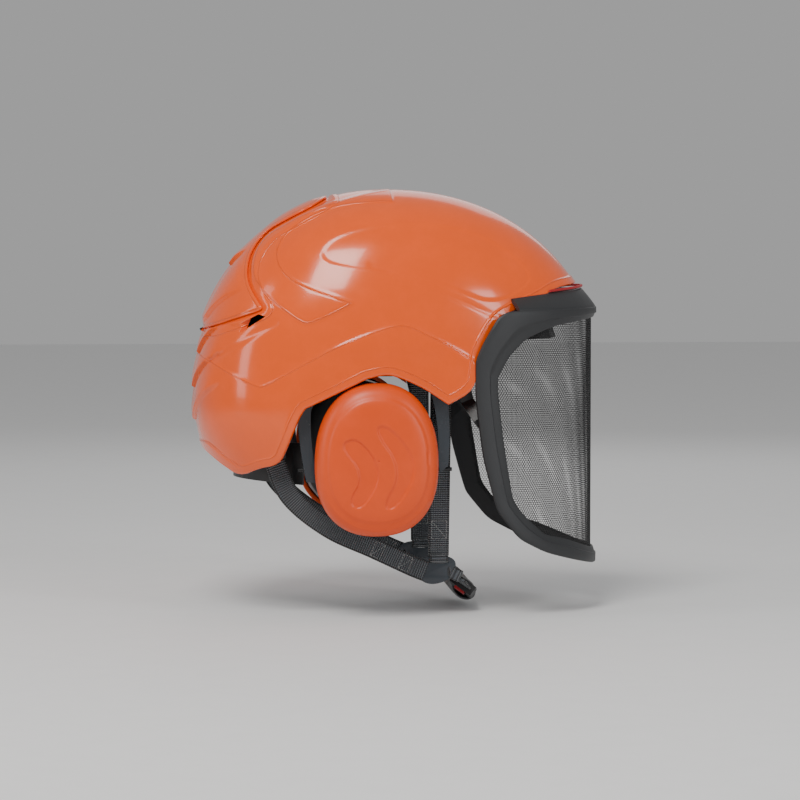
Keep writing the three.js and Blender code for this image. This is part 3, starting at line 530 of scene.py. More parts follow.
# ------------------------------------------------------------------ Geometry Nodes: swept wires
def wire_tree():
    """Turns the edges of a mesh into round wires of one radius and material."""
    tree = bpy.data.node_groups.new("WiresFromEdges", "GeometryNodeTree")
    for label, kind in (("Geometry", "Geometry"), ("Radius", "Float"), ("Sides", "Int"),
                        ("Material", "Material")):
        tree.interface.new_socket(label, in_out="INPUT", socket_type=f"NodeSocket{kind}")
    tree.interface.new_socket("Geometry", in_out="OUTPUT", socket_type="NodeSocketGeometry")
    start = tree.nodes.new("NodeGroupInput")
    end = tree.nodes.new("NodeGroupOutput")
    to_curve = tree.nodes.new("GeometryNodeMeshToCurve")
    circle = tree.nodes.new("GeometryNodeCurvePrimitiveCircle")
    sweep = tree.nodes.new("GeometryNodeCurveToMesh")
    sweep.inputs["Fill Caps"].default_value = True
    realize = tree.nodes.new("GeometryNodeRealizeInstances")
    finish = tree.nodes.new("GeometryNodeSetMaterial")
    for source, out, target, into in (
            (start, "Geometry", to_curve, "Mesh"), (start, "Radius", circle, "Radius"),
            (start, "Sides", circle, "Resolution"), (to_curve, "Curve", sweep, "Curve"),
            (circle, "Curve", sweep, "Profile Curve"), (sweep, "Mesh", realize, "Geometry"),
            (realize, "Geometry", finish, "Geometry"), (start, "Material", finish, "Material"),
            (finish, "Geometry", end, "Geometry")):
        tree.links.new(source.outputs[out], target.inputs[into])
    return tree


def wires(name, points, edges, radius, sides, finish):
    """Round wires along the edges, given in millimetres."""
    mesh = bpy.data.meshes.new(name)
    mesh.from_pydata([(x * MM, y * MM, z * MM) for x, y, z in points], edges, [])
    made = bpy.data.objects.new(name, mesh)
    bpy.context.collection.objects.link(made)
    tree = bpy.data.node_groups.get("WiresFromEdges") or wire_tree()
    change = made.modifiers.new("wires", "NODES")
    change.node_group = tree
    values = {"Radius": radius * MM, "Sides": sides, "Material": material(finish)}
    for item in tree.interface.items_tree:
        if item.in_out == "INPUT" and item.name in values:
            change[item.identifier] = values[item.name]
    apply_modifiers(made)
    return smooth_all(made)


# ------------------------------------------------------------------ lines in the side view
def smooth_step(value):
    value = np.clip(value, 0, 1)
    return value * value * (3 - 2 * value)


def line_distance(x, z, line, closed=False):
    """Distance in millimetres from each point to a line of (x, z) points."""
    points = np.asarray(line, float)
    ends = np.roll(points, -1, axis=0) if closed else points[1:]
    starts = points if closed else points[:-1]
    best = np.full(np.shape(x), 1e9)
    for (x0, z0), (x1, z1) in zip(starts, ends):
        dx, dz = x1 - x0, z1 - z0
        length = dx * dx + dz * dz
        if length < 1e-9:
            continue
        share = np.clip(((x - x0) * dx + (z - z0) * dz) / length, 0, 1)
        best = np.minimum(best, np.hypot(x - x0 - share * dx, z - z0 - share * dz))
    return best


def depth_inside(x, z, area):
    """Signed distance to the edge of a closed area: positive inside."""
    points = np.asarray(area, float)
    inside = np.zeros(np.shape(x), bool)
    for (x0, z0), (x1, z1) in zip(points, np.roll(points, -1, axis=0)):
        if z0 == z1:
            continue
        crosses = (z0 > z) != (z1 > z)
        inside ^= crosses & (x < x0 + (z - z0) * (x1 - x0) / (z1 - z0))
    return line_distance(x, z, area, closed=True) * np.where(inside, 1, -1)


def rounded(line, passes=2, closed=False):
    """The line with its corners cut smooth."""
    points = np.asarray(line, float)
    for _ in range(passes):
        ends = np.roll(points, -1, axis=0) if closed else points[1:]
        starts = points if closed else points[:-1]
        cut = np.empty((2 * len(starts), 2))
        cut[0::2] = 0.75 * starts + 0.25 * ends
        cut[1::2] = 0.25 * starts + 0.75 * ends
        points = cut if closed else np.vstack([points[:1], cut, points[-1:]])
    return points


# ------------------------------------------------------------------ dome
def dome_axes(dx, dz):
    """The dome's half-axes on this side of its centre, along and upwards."""
    return np.where(dx > 0, DOME["front"], DOME["rear"]), np.where(dz > 0, DOME["crown"], DOME["below"])


def dome_share(x, z):
    dx, dz = x - CENTRE_X, z - CENTRE_Z
    long, tall = dome_axes(dx, dz)
    return np.abs(dx / long) ** SIDE_POWER + np.abs(dz / tall) ** SIDE_POWER


def dome_half_width(x, z):
    share = np.clip(dome_share(x, z), 0, 1)
    return (DOME["side"] * (1 - share ** (CROSS_POWER / SIDE_POWER)) ** (1 / CROSS_POWER)
            * (1 - PLAN_TAPER * (x + 30)))


def dome_profile(degrees):
    """The point of the dome's outline in the side view at an angle from the front."""
    angle = np.radians(degrees)
    c, s = np.cos(angle), np.sin(angle)
    long, tall = dome_axes(c, s)
    reach = (np.abs(c / long) ** SIDE_POWER + np.abs(s / tall) ** SIDE_POWER) ** (-1 / SIDE_POWER)
    return np.stack([CENTRE_X + reach * c, CENTRE_Z + reach * s], axis=-1)


def dome_normal(x, y, z):
    dx, dz = x - CENTRE_X, z - CENTRE_Z
    long, tall = dome_axes(dx, dz)
    share = np.maximum(dome_share(x, z), 1e-6) ** (CROSS_POWER / SIDE_POWER - 1)
    gx = share * np.abs(dx / long) ** (SIDE_POWER - 1) * np.sign(dx) / long
    gz = share * np.abs(dz / tall) ** (SIDE_POWER - 1) * np.sign(dz) / tall
    gy = (np.abs(y) / DOME["side"]) ** (CROSS_POWER - 1) * np.sign(y) / DOME["side"]
    out = np.stack([gx, gy, gz], axis=-1)
    return out / np.linalg.norm(out, axis=-1, keepdims=True)


def dome_grid(edge, knots, around, across):
    """Points of the left half of a dome patch, from its lower edge (in the side view) to the
    outline above. `knots` pairs points of the edge with angles on the outline."""
    edge = np.asarray(edge, float)
    lengths = lengths_along(edge)
    low = np.array([lengths[np.argmin(np.linalg.norm(edge - np.array(point), axis=1))]
                    for point, _ in knots])
    high = np.array([angle for _, angle in knots], float)
    arc = lengths_along(dome_profile(high))
    common = low / low[-1] + arc / arc[-1]
    stations = np.linspace(0, 2, around)
    low_at = np.interp(stations, common, low)
    starts = np.column_stack([np.interp(low_at, lengths, edge[:, k]) for k in range(2)])
    ends = dome_profile(np.interp(stations, common, high))
    starts[0], starts[-1] = ends[0], ends[-1]
    share = 1 - (1 - np.linspace(0, 1, 500)) ** 2
    grid = np.zeros((around, across, 3))
    for index in range(around):
        side = starts[index] + (ends[index] - starts[index]) * share[:, None]
        width = dome_half_width(side[:, 0], side[:, 1])
        width[-1] = 0
        path = np.column_stack([side[:, 0], width, side[:, 1]])
        even = resample(path, across)
        even[:-1, 1] = dome_half_width(even[:-1, 0], even[:-1, 2])
        even[-1, 1] = 0
        grid[index] = even
    grid[[0, -1], :, 1] = 0
    return grid


def dome_patch(name, grid, relief, gap, wall, bead=0.9):
    """A closed sheet on the dome from `gap` to `gap + wall` outside it, its two halves mirrored
    and its outer face raised by relief(x, y, z)."""
    across = grid.shape[1]
    x, y, z = grid[..., 0], grid[..., 1], grid[..., 2]
    normal = dome_normal(x, y, z)
    outer = grid + normal * (gap + wall + relief(x, y, z))[..., None]
    inner_columns = np.unique(np.linspace(0, across - 1, 14).astype(int))
    inner = (grid + normal * gap)[:, inner_columns]
    down = grid[:, 0] - grid[:, 1]
    down /= np.maximum(np.linalg.norm(down, axis=1, keepdims=True), 1e-6)
    beads = [outer[:, 0] * (1 - t) + inner[:, 0] * t + down * bead * math.sin(math.pi * t)
             for t in (0.8, 0.5, 0.2)]
    columns = [inner[:, k] for k in range(inner.shape[1] - 1, -1, -1)] + beads
    columns += [outer[:, k] for k in range(across)]
    half = np.stack(columns, axis=1)
    rows, width = half.shape[:2]
    points, faces = [], []
    for sign in (1, -1):
        faces += grid_faces(len(points), rows, width)
        points += [tuple(p) for p in (half * np.array([1, sign, 1])).reshape(-1, 3)]
    made = mesh_object(name, points, faces, smooth=False)
    return smooth_all(made)


SHELL_EDGE = np.vstack([
    [(-146.8, -78.5), (-135, -88)],
    rounded([(-135, -88), (-121, -97.5), (-108, -90), (-93.7, -87.1), (-88.3, -74.1),
             (-77.3, -44.9), (-70.3, -41.7), (-28.3, -21.2)])[1:],
    catmull([(-28.3, -21.2), (-15, -18.6), (-4, -20.5), (15, -29), (34, -41.3)], 10)[1:],
    rounded([(34, -41.3), (54.8, -30.4), (56, -9), (61, 4), (72, 21), (81, 27), (108, 38),
             (124, 46.5), (138, 48.5), (145.6, 49.5)])[1:]])
SHELL_KNOTS = (((-146.8, -78.5), 194), ((-121, -97.5), 184), ((-93.7, -87), 172),
               ((-77.3, -44.9), 152), ((-28.3, -21.2), 122), ((15, -29), 97), ((34, -41.3), 88),
               ((54.8, -30.4), 75), ((56, -9), 67), ((61, 4), 61), ((81, 27), 51),
               ((108, 38), 42.5), ((138, 48.5), 33.5), ((145.6, 49.5), 31.72))
COVER_EDGE = np.vstack([
    [(-149.8, 12.5)],
    rounded([(-142, 16), (-122, 24), (-104, 30), (-107.2, 34), (-114.2, 47.1), (-115.2, 59.3),
             (-111, 73.6), (-99, 89), (-82, 99), (-66, 107), (-50, 116.2)])])
COVER_KNOTS = (((-149.8, 12.5), 159.2), ((-122, 24), 154), ((-104, 30), 149),
               ((-115.2, 59.3), 138), ((-99, 89), 124), ((-66, 107), 111), ((-50, 116.2), 106.1))

FIN_INNER = rounded([(-1, 111), (-20, 111), (-49, 107), (-69, 98), (-83, 88), (-90, 79), (-92, 71),
                     (-90, 62), (-83, 54), (-69, 47), (-51, 41), (-35, 35.5)])
FIN_OUTER = rounded([(-1, 124), (-20, 121), (-39, 116), (-59, 109), (-74, 103), (-88, 95),
                     (-100, 88), (-108, 78), (-112, 67), (-113, 58), (-111, 51), (-105, 42),
                     (-95, 32), (-80, 21), (-73, 18), (-64, 21), (-49, 28), (-35, 35.5)])
FIN = np.vstack([FIN_INNER, FIN_OUTER[::-1]])
BELT = rounded([(-170, 6), (-150, -4), (-130, -17), (-110, -26.5), (-105, -26), (-83, -13),
                (-48, 6), (-9, 20), (4, 20), (15, 14.5), (33, 6), (52, -5), (60, -12)])
BELT_AREA = np.vstack([BELT, [(60, -160), (-170, -160)]])
LONG_CREASE = rounded([(-24, 64), (1, 55), (31, 43), (66, 27.5), (76, 24)])
BROW_PANEL = rounded([(52, 41), (65, 36.5), (82, 38), (108, 54), (80, 79), (50, 92), (10, 96),
                      (-30, 92), (-56, 82), (-62, 68), (-40, 62), (0, 58), (30, 50)], closed=True)
SLOT_CREASE = rounded([(-96, 20), (-112, 12), (-139, -6)])
VENT_SLOT = [(-108.6, 26.5), (-103.6, 24.8), (-134.8, 3.8), (-138.3, 10.3)]
COVER_AREA = np.vstack([COVER_EDGE[1:], [(-50, 200), (-200, 200), (-200, 12.5)]])


def overlapping_plates(y, z, breaks, height, slope=0.5, reach=46, fade=20):
    """Plates that lap downwards behind the head, each with a point at the middle."""
    level = z - slope * np.abs(y)
    raised = np.zeros(np.shape(z))
    for top, tip in zip(breaks, breaks[1:]):
        climb = np.clip((top - level) / (top - tip), 0, 1)
        drop = 1 - smooth_step((tip - level) / 2.4)
        raised = np.where(level < top, climb * drop * height, raised)
    return raised * (1 - smooth_step((np.abs(y) - reach) / fade))


def shell_relief(x, y, z):
    scale = bpy.context.scene.hat_shell.relief
    fin = smooth_step(depth_inside(x, z, FIN) / 2.6)
    belt = smooth_step(depth_inside(x, z, BELT_AREA) / 2.6)
    lip = 1 - smooth_step((line_distance(x, z, SHELL_EDGE) - 5.0) / 1.7)
    brow = smooth_step((depth_inside(x, z, BROW_PANEL) + 1) / 2.6)
    crease = 1 - smooth_step(line_distance(x, z, LONG_CREASE) / 2.8)
    slot = 1 - smooth_step(line_distance(x, z, SLOT_CREASE) / 4.0)
    cover = depth_inside(x, z, COVER_AREA)
    rim = smooth_step((cover + 8.5) / 2.6) * (1 - smooth_step((cover + 3.4) / 2.2))
    under_cover = smooth_step((cover + 2.2) / 1.6)
    rear = smooth_step((-98 - x) / 12)
    plates = overlapping_plates(y, z, (10, -6, -32, -56), 2.6) * rear
    raised = (fin + belt + 0.8 * lip - 0.5 * brow - 0.4 * crease - 0.6 * slot
              + rim * (z > 18)) * scale
    arch = smooth_step((x + 85) / 25) * smooth_step((42 - x) / 15) * smooth_step((4 - z) / 14)
    raised = raised * (1 - 0.85 * arch)
    return raised * (1 - under_cover) + plates * (1 - under_cover) - 0.2 * under_cover


def cover_relief(x, y, z):
    edge = line_distance(x, z, COVER_EDGE)
    chamfer = -0.8 * (1 - smooth_step(edge / 2.6))
    hood = overlapping_plates(y, z, (104, 62, 14), 2.3, slope=0.55, reach=40, fade=26)
    spine = 0.9 * (1 - smooth_step((np.abs(y) - 15) / 4)) * smooth_step((edge - 6) / 6)
    return chamfer + (hood - spine * 0.6) * smooth_step((edge - 1.5) / 5)


def mark_creases(made, distances):
    """Stores each vertex's signed distance in metres to each of the named creases."""
    places = np.array([vertex.co for vertex in made.data.vertices]) / MM
    for name in CREASE_NAMES:
        store = made.data.attributes.new(name, "FLOAT", "POINT")
        values = np.full(len(places), 1.0)
        if name in distances:
            values = distances[name](places[:, 0], places[:, 2]) * MM
        store.data.foreach_set("value", values.astype(np.float32))


SHELL_CREASES = {
    "crease_fin": lambda x, z: depth_inside(x, z, FIN) - 1.9,
    "crease_belt": lambda x, z: depth_inside(x, z, BELT_AREA) - 2.0,
    "crease_edge": lambda x, z: line_distance(x, z, SHELL_EDGE) - 5.4,
    "crease_rim": lambda x, z: depth_inside(x, z, COVER_AREA) + 7.2}
COVER_CREASES = {"crease_edge": lambda x, z: line_distance(x, z, COVER_EDGE) - 2.6}


class HAT_OT_shell(bpy.types.Operator):
    """Builds the outer shell and the cover over its rear vent"""
    bl_idname = "hat.shell"
    bl_label = "Shell"

    def execute(self, context):
        around = context.scene.hat_shell.around
        grid = dome_grid(SHELL_EDGE, SHELL_KNOTS, around, 116)
        shell = dome_patch("shell_surface", grid, shell_relief, -SHELL_WALL, SHELL_WALL)
        for low, high in ((70, 140), (-140, -70)):
            boolean(shell, prism("slot_cutter", VENT_SLOT, low, high), "DIFFERENCE")
        rear_vent = [(-200, 19), (-200, 44), (-100, 44), (-100, 19)]
        boolean(shell, prism("vent_cutter", rear_vent, -9, 9), "DIFFERENCE")
        mark_creases(shell, SHELL_CREASES)
        finish_piece(shell, "helmet", "shell", ["outer_shell"])
        grid = dome_grid(COVER_EDGE, COVER_KNOTS, around // 2, 60)
        cover = dome_patch("rear_cover_surface", grid, cover_relief, COVER_GAP, COVER_WALL, bead=0.3)
        diamond = [(-11, 31), (-4, 46), (4, 46), (11, 31), (4, 17), (-4, 17)]
        boolean(cover, prism("diamond_cutter", diamond, -200, -100, axis="X"), "DIFFERENCE")
        mark_creases(cover, COVER_CREASES)
        finish_piece(cover, "helmet", "shell", ["rear_cover"])
        return {"FINISHED"}


# ------------------------------------------------------------------ visor
FAR = 260.0
FRAME_OUTER = [(FAR, 31), (82, 29), (73, 23.9), (60.8, 3.6), (55.2, -9), (55.2, -37), (61, -82),
               (69.5, -113), (73.2, -124.6), (90.9, -146), (113.7, -157.6), (158, -170.6),
               (FAR, -171)]
FRAME_OPENING = [(FAR, 23.3), (120, 17), (96, 7.4), (81.8, -6.6), (73.3, -22), (73.3, -32),
                 (77.7, -68.7), (85.5, -115.4), (94.8, -127.6), (112.1, -143.3), (129.3, -147.2),
                 (157.7, -158.1), (FAR, -158.5)]
MESH_OUTLINE = [(FAR, 27), (118, 22), (92, 12), (77, -4), (69, -20), (69, -33), (73.5, -69),
                (81.5, -117), (91.5, -131), (110, -147), (128, -151), (158, -162), (FAR, -162.5)]
FRAME_KNOTS = (((163, 31), (163, 23.3)), ((82, 29), (108, 12.5)), ((60.8, 3.6), (79, -12)),
               ((55.2, -23), (73.3, -27)), ((61, -82), (78.6, -74)), ((69.5, -113), (84, -107)),
               ((80, -133), (93, -126)), ((113.7, -157.6), (112.1, -143.3)),
               ((158, -170.6), (157.7, -158.1)), ((163, -171), (163, -158.5)))
MESH_INSET = 4.3
MESH_TOP_Z, MESH_BOTTOM_Z = 28, -164
CELL_WIDTH, CELL_ZIGZAG = 1.3, 0.16     # as shares of the row pitch


def plan_point(angle):
    """x and y on the visor's plan curve, by angle from straight ahead."""
    power = 2 / VISOR_POWER
    x = VISOR_ROOT_X + (VISOR_FRONT_X - VISOR_ROOT_X) * np.cos(angle).clip(0) ** power
    y = VISOR_SIDE_Y * np.sign(np.sin(angle)) * np.abs(np.sin(angle)) ** power
    return x, y


def plan_curve():
    """The visor's plan curve: arc length from the middle, points and outward directions."""
    angles = np.linspace(-math.pi / 2, math.pi / 2, 4001)
    x, y = plan_point(angles)
    length = np.r_[0, np.cumsum(np.hypot(np.diff(x), np.diff(y)))]
    length -= length[-1] / 2
    tangent = np.stack([np.gradient(x), np.gradient(y)], axis=1)
    tangent /= np.linalg.norm(tangent, axis=1, keepdims=True)
    return length, x, y, tangent[:, 1], -tangent[:, 0]


PLAN = plan_curve()


def on_plan(length, z, out):
    """Points at an arc length along the visor, a height and a distance outside its plan curve."""
    x, y, nx, ny = (np.interp(length, PLAN[0], values) for values in PLAN[1:])
    return np.stack([x + nx * out, y + ny * out, np.broadcast_to(z, np.shape(x))], axis=-1)


def plan_length(x):
    """Arc length on the left side of the visor at a side-view x."""
    half = len(PLAN[0]) // 2
    return np.interp(-np.asarray(x, float), -PLAN[1][half:], PLAN[0][half:])


def unrolled(outline):
    """A side-view outline of the visor as (arc length, z) points, its corners rounded."""
    points = np.asarray(outline, float)
    points[:, 0] = np.minimum(points[:, 0], VISOR_FRONT_X)
    dense = []
    for start, end in zip(points, points[1:]):
        dense += [start + (end - start) * t for t in np.arange(12) / 12]
    dense = np.array(dense + [points[-1]])
    dense[:, 0] = plan_length(dense[:, 0])
    smooth = dense.copy()
    for _ in range(7):
        smooth[1:-1] = 0.25 * smooth[:-2] + 0.5 * smooth[1:-1] + 0.25 * smooth[2:]
    return resample(smooth, 500)


def paired(outer, inner, count):
    """Stations along two outlines, matched at the frame's corners."""
    def at(curve, point):
        point = np.array([plan_length(point[0]), point[1]])
        return np.argmin(np.linalg.norm(curve - point, axis=1)) / (len(curve) - 1)

    places = np.array([(at(outer, a), at(inner, b)) for a, b in FRAME_KNOTS])
    places[0], places[-1] = 0, 1
    common = places.mean(axis=1)
    stations = np.linspace(0, 1, count)
    out = []
    for curve, column in ((outer, places[:, 0]), (inner, places[:, 1])):
        index = np.interp(stations, common, column) * (len(curve) - 1)
        out.append(np.column_stack([np.interp(index, np.arange(len(curve)), curve[:, k])
                                    for k in range(2)]))
    return out


# Across the frame from its outer edge to the opening: share of the width, distance outside.
FRAME_SECTION = ((0.0, -2.6), (0.0, -1.3), (0.025, -0.5), (0.07, -0.1), (0.2, 0.0), (0.56, 0.1),
                 (0.60, -0.1), (0.64, -0.9), (0.78, -1.5), (0.93, -2.0), (0.975, -2.3), (1.0, -2.8),
                 (1.0, -3.6), (0.86, -3.7), (0.5, -3.6), (0.12, -3.6), (0.03, -3.4))
FRAME_BEVEL = range(5, 14)          # the darker faces of that section, beside the opening


def frame_loop():
    outer, inner = paired(unrolled(FRAME_OUTER), unrolled(FRAME_OPENING), 190)
    rings = []
    for side in (1, -1):
        order = range(len(outer)) if side == 1 else range(len(outer) - 2, 0, -1)
        for i in order:
            across = np.array([outer[i] + (inner[i] - outer[i]) * t for t, _ in FRAME_SECTION])
            across[:, 0] *= side
            rings.append(on_plan(across[:, 0], across[:, 1], np.array([h for _, h in FRAME_SECTION])))
    made = mesh_object("frame_loop", *lofted(rings, closed=True))
    for index, polygon in enumerate(made.data.polygons):
        polygon.material_index = int(index % len(FRAME_SECTION) in FRAME_BEVEL)
    return made


def dome_front(y, z):
    """The x where the front of the dome has this half-width at this height."""
    low = np.full(np.shape(y), CENTRE_X)
    high = np.full(np.shape(y), CENTRE_X + DOME["front"])
    for _ in range(40):
        middle = (low + high) / 2
        wide = dome_half_width(middle, z) > np.abs(y)
        low, high = np.where(wide, middle, low), np.where(wide, high, middle)
    return low


def band_edges(first, last, count):
    """The front and back edges of the sloping band over the visor, between two of 36 steps."""
    turn = np.linspace(first, last, count) * math.pi / 36
    x, y = plan_point(math.pi / 2 - turn)
    front = np.stack([x, y, np.full(count, VISOR_TOP_Z - 1.0)], axis=1)
    y = front[:, 1] * BAND_NARROWING
    z = VISOR_TOP_Z + BAND_RISE * np.sin(turn) ** 0.8
    back = np.stack([dome_front(y, z) + BAND_GAP, y, z], axis=1)
    return front, back


def sloping_band():
    front, back = band_edges(5, 31, 150)
    rings = []
    for a, b in zip(front, back):
        slope = (b - a) / np.linalg.norm(b - a)
        along = np.array([-a[1], a[0] - VISOR_ROOT_X, 0.0])
        out = np.cross(slope, along)
        out /= np.linalg.norm(out)
        if out[2] < 0:
            out = -out
        width = np.linalg.norm(b - a)
        section = ((0.0, -3.0), (-0.02, -1.8), (0.0, -0.7), (0.05, -0.05), (0.15, 0.25), (0.5, 0.5),
                   (0.85, 0.3), (0.95, 0.0), (1.0, -0.8), (1.0, -2.0), (0.95, -2.6), (0.5, -2.4),
                   (0.1, -2.8))
        rings.append(np.array([a + slope * (width * t) + out * h for t, h in section]))
    return mesh_object("sloping_band", *lofted(rings))


def lip_bead():
    _, back = band_edges(9, 27, 110)
    section = ((0.2, 0.3), (1.3, 0.3), (1.7, 0.9), (1.7, 1.7), (1.3, 2.2), (0.6, 2.2), (0.2, 1.7))
    rings = [np.array([b + np.array([u, 0, v]) for u, v in section]) for b in back]
    return mesh_object("visor_lip_bead", *lofted(rings))


def mesh_half(name, side):
    """Staggered cells of wire on one half of the visor."""
    settings = bpy.context.scene.hat_visor
    row, column = settings.row_pitch, settings.row_pitch * CELL_WIDTH
    zig = row * CELL_ZIGZAG
    outline = np.asarray(MESH_OUTLINE, float)
    rows = int((MESH_TOP_Z - MESH_BOTTOM_Z) / row)
    columns = int(PLAN[0][-1] / column) * 2
    index, points, edges = {}, [], []
    for r in range(rows):
        for c in range(columns + 1):
            up = (r + c) % 2 == 0
            z = MESH_TOP_Z - r * row + (zig if up else -zig)
            index[r, c] = len(points)
            points.append((c * column / 2, z))
    flat = np.array(points)
    place = on_plan(flat[:, 0] * side, flat[:, 1], -MESH_INSET)
    keep = depth_inside(place[:, 0], flat[:, 1], outline) > 0
    used = {}

    def number(key):
        return used.setdefault(index[key], len(used))

    for r in range(rows):
        for c in range(columns + 1):
            if not keep[index[r, c]]:
                continue
            if (r, c + 1) in index and keep[index[r, c + 1]]:
                edges.append((number((r, c)), number((r, c + 1))))
            if (r + c) % 2 and (r + 1, c) in index and keep[index[r + 1, c]]:
                edges.append((number((r, c)), number((r + 1, c))))
    chosen = [tuple(place[i]) for i in used]
    return wires(name, chosen, edges, settings.wire, 3, "mesh")


class HAT_OT_visor(bpy.types.Operator):
    """Builds the visor frame, its sloping top band, the red lip and the wire mesh"""
    bl_idname = "hat.visor"
    bl_label = "Visor"

    def execute(self, context):
        frame_piece = join("visor_frame_surface", [frame_loop(), sloping_band()])
        finish_piece(frame_piece, "visor", "frame", ["visor_frame"])
        frame_piece.data.materials.append(material("gloss_black"))
        finish_piece(lip_bead(), "visor", "lip", ["visor_lip"])
        for side, sign in SIDES:
            piece = mesh_half(f"visor_wires_{side}", sign)
            finish_piece(piece, "visor", "mesh", ["visor_mesh"])
        return {"FINISHED"}


# ------------------------------------------------------------------ ear cups
# Outer profile of a cover: share of the outline, distance from the middle of the hat.
COVER_PROFILE = ((0.0, 118.0), (0.25, 117.9), (0.45, 117.6), (0.7, 116.4), (0.84, 114.0),
                 (0.92, 111.2), (0.97, 107.6), (0.995, 103.6), (1.0, 100.4), (1.0, 98.6))
# Recesses in the cover's face, forwards and up from its middle.
CHEVRON_FRONT = [(-6, 25), (8, 29), (33, -4), (14, -38), (1, -36), (17, -7)]
CHEVRON_BACK = [(-32, 13), (-15, 20), (5, -9), (-12, -39), (-25, -32), (-12, -10)]


def cup_outline(count):
    """Egg-shaped outline round the middle of a cup, forwards and up."""
    angle = np.linspace(0, 2 * math.pi, count, endpoint=False)
    c, s = np.cos(angle), np.sin(angle)
    power = 2 / CUP_POWER
    x = CUP_HALF_X * np.sign(c) * np.abs(c) ** power * (1 - 0.05 * s)
    return np.column_stack([x, CUP_HALF_Z * np.sign(s) * np.abs(s) ** power])


def cup_relief(x, z, share):
    depth = bpy.context.scene.hat_cup.recess
    panel = smooth_step((0.83 - share) / 0.05)
    chevrons = sum(smooth_step(depth_inside(x, z, rounded(area, 2, closed=True)) / 1.9)
                   for area in (CHEVRON_FRONT, CHEVRON_BACK))
    ridge = 1 - smooth_step(np.abs(np.hypot(x * 1.1, z + 4) - 49.5) / 1.8)
    mark = smooth_step(depth_inside(x, z, [(36.5, 8), (39, 8), (39, -4), (36.5, -4)]) / 0.8)
    return (0.4 * panel - 0.62 * chevrons + 0.2 * ridge * (z < -30) - 0.3 * mark) * depth


def cup_cover(name, side):
    outline = cup_outline(330)
    profile = resample(catmull(COVER_PROFILE, 12) * np.array([55, 1]), 76) / np.array([55, 1])
    profile[0, 0] = 0
    shares = profile[1:, 0].clip(0, 1)
    ring_x = shares[:, None] * outline[:, 0]
    ring_z = shares[:, None] * outline[:, 1]
    out = profile[1:, 1][:, None] + cup_relief(ring_x, ring_z, shares[:, None])
    points = [(CUP_X, side * (profile[0, 1] - 0.2), CUP_Z)]
    points += [(CUP_X + x, side * y, CUP_Z + z)
               for x, y, z in zip(ring_x.ravel(), out.ravel(), ring_z.ravel())]
    count = len(outline)
    for share, y in ((0.985, 98.1), (0.94, 98.1), (0.94, 100.5), (0.9, 108), (0.6, 113.5)):
        points += [(CUP_X + share * x, side * y, CUP_Z + share * z) for x, z in outline]
    rings = len(shares) + 5
    faces = [(0, 1 + i, 1 + (i + 1) % count) for i in range(count)]
    for ring in range(rings - 1):
        for i in range(count):
            j = (i + 1) % count
            low, high = 1 + ring * count, 1 + (ring + 1) * count
            faces.append((low + i, high + i, high + j, low + j))
    last = 1 + (rings - 1) * count
    faces.append(tuple(last + i for i in range(count)))
    made = mesh_object(name, points, faces)
    smooth_by_angle(made, 50)
    return made


def cushion(name, side):
    """A soft ring of sealed skin over foam, with a welded seam and faint gathers at its inner edge."""
    outline = cup_outline(220) * 0.93
    rings = []
    for index, (x, z) in enumerate(outline):
        gather = 0.25 * math.sin(index * 2 * math.pi * 46 / len(outline))
        section = []
        for turn in np.linspace(0, 2 * math.pi, 30, endpoint=False):
            c, s = math.cos(turn), math.sin(turn)
            share = 0.765 + 0.205 * np.sign(c) * abs(c) ** 0.7
            y = 76.4 + 6.9 * np.sign(s) * abs(s) ** 0.7
            if c < -0.3:
                share += 0.004 * gather
                y += gather * 0.5
            if abs(s) < 0.12 and c > 0:
                share -= 0.008
            section.append((CUP_X + share * x, side * y, CUP_Z + share * z))
        rings.append(section)
    return mesh_object(name, *lofted(rings, closed=True))


class HAT_OT_cups(bpy.types.Operator):
    """Builds the covers and cushions of both ear cups"""
    bl_idname = "hat.cups"
    bl_label = "Ear cups"

    def execute(self, context):
        for side, sign in SIDES:
            cover = cup_cover(f"cup_shell_{side}", sign)
            finish_piece(cover, f"{side}_cup", "cup", [f"cup_cover_{side}"])
            soft = cushion(f"ear_cushion_{side}", sign)
            finish_piece(soft, f"{side}_cup", "leatherette", [f"cup_cushion_{side}"])
        return {"FINISHED"}


# ------------------------------------------------------------------ webbing
FRONT_STRAP_X = 31.3
FRONT_STRAP = [(77, -6), (76, -40), (71, -90), (65, -135), (62, -160.7)]
REAR_STRAP = [(-97, 74, -84), (-84, 72.5, -113), (-54, 65.5, -138), (-20, 63.5, -154),
              (4.5, 62.6, -165.6), (13, 64.5, -169.4), (21, 64.6, -172.6)]
REAR_WIDE = [(1, 0, 0.3), (0.85, 0, 0.5), (0.55, 0, 0.85), (0.42, 0, 0.95), (0.4, 0, 1),
             (0.4, 0, 1), (0.4, 0, 1)]
DIVIDER = [(12.5, -165), (22.5, -161), (41, -161), (46, -168), (40, -180), (24, -184), (14, -177)]
DIVIDER_Y, DIVIDER_THICKNESS = 62.0, 3.0
DIVIDER_SLOTS = ((24, 39, -166.8, -164), (16.5, 19, -176, -168), (38.2, 40.6, -177, -169.5))
CHIN_LEFT = [(47, 59, -178.5), (52, 50, -184), (56, 32, -190), (58, 12, -193), (57.3, -14.6, -192.3)]
CHIN_RIGHT = [(47, -59, -178.5), (49.6, -55, -181.6), (51.8, -50, -184.3)]
CHIN_WIDE = (0.8, 0, -0.62)
LOOP_STEP = 0.45                 # millimetres of webbing between the rings of a loop


def unit(vectors):
    vectors = np.asarray(vectors, float)
    return vectors / np.linalg.norm(vectors, axis=-1, keepdims=True)


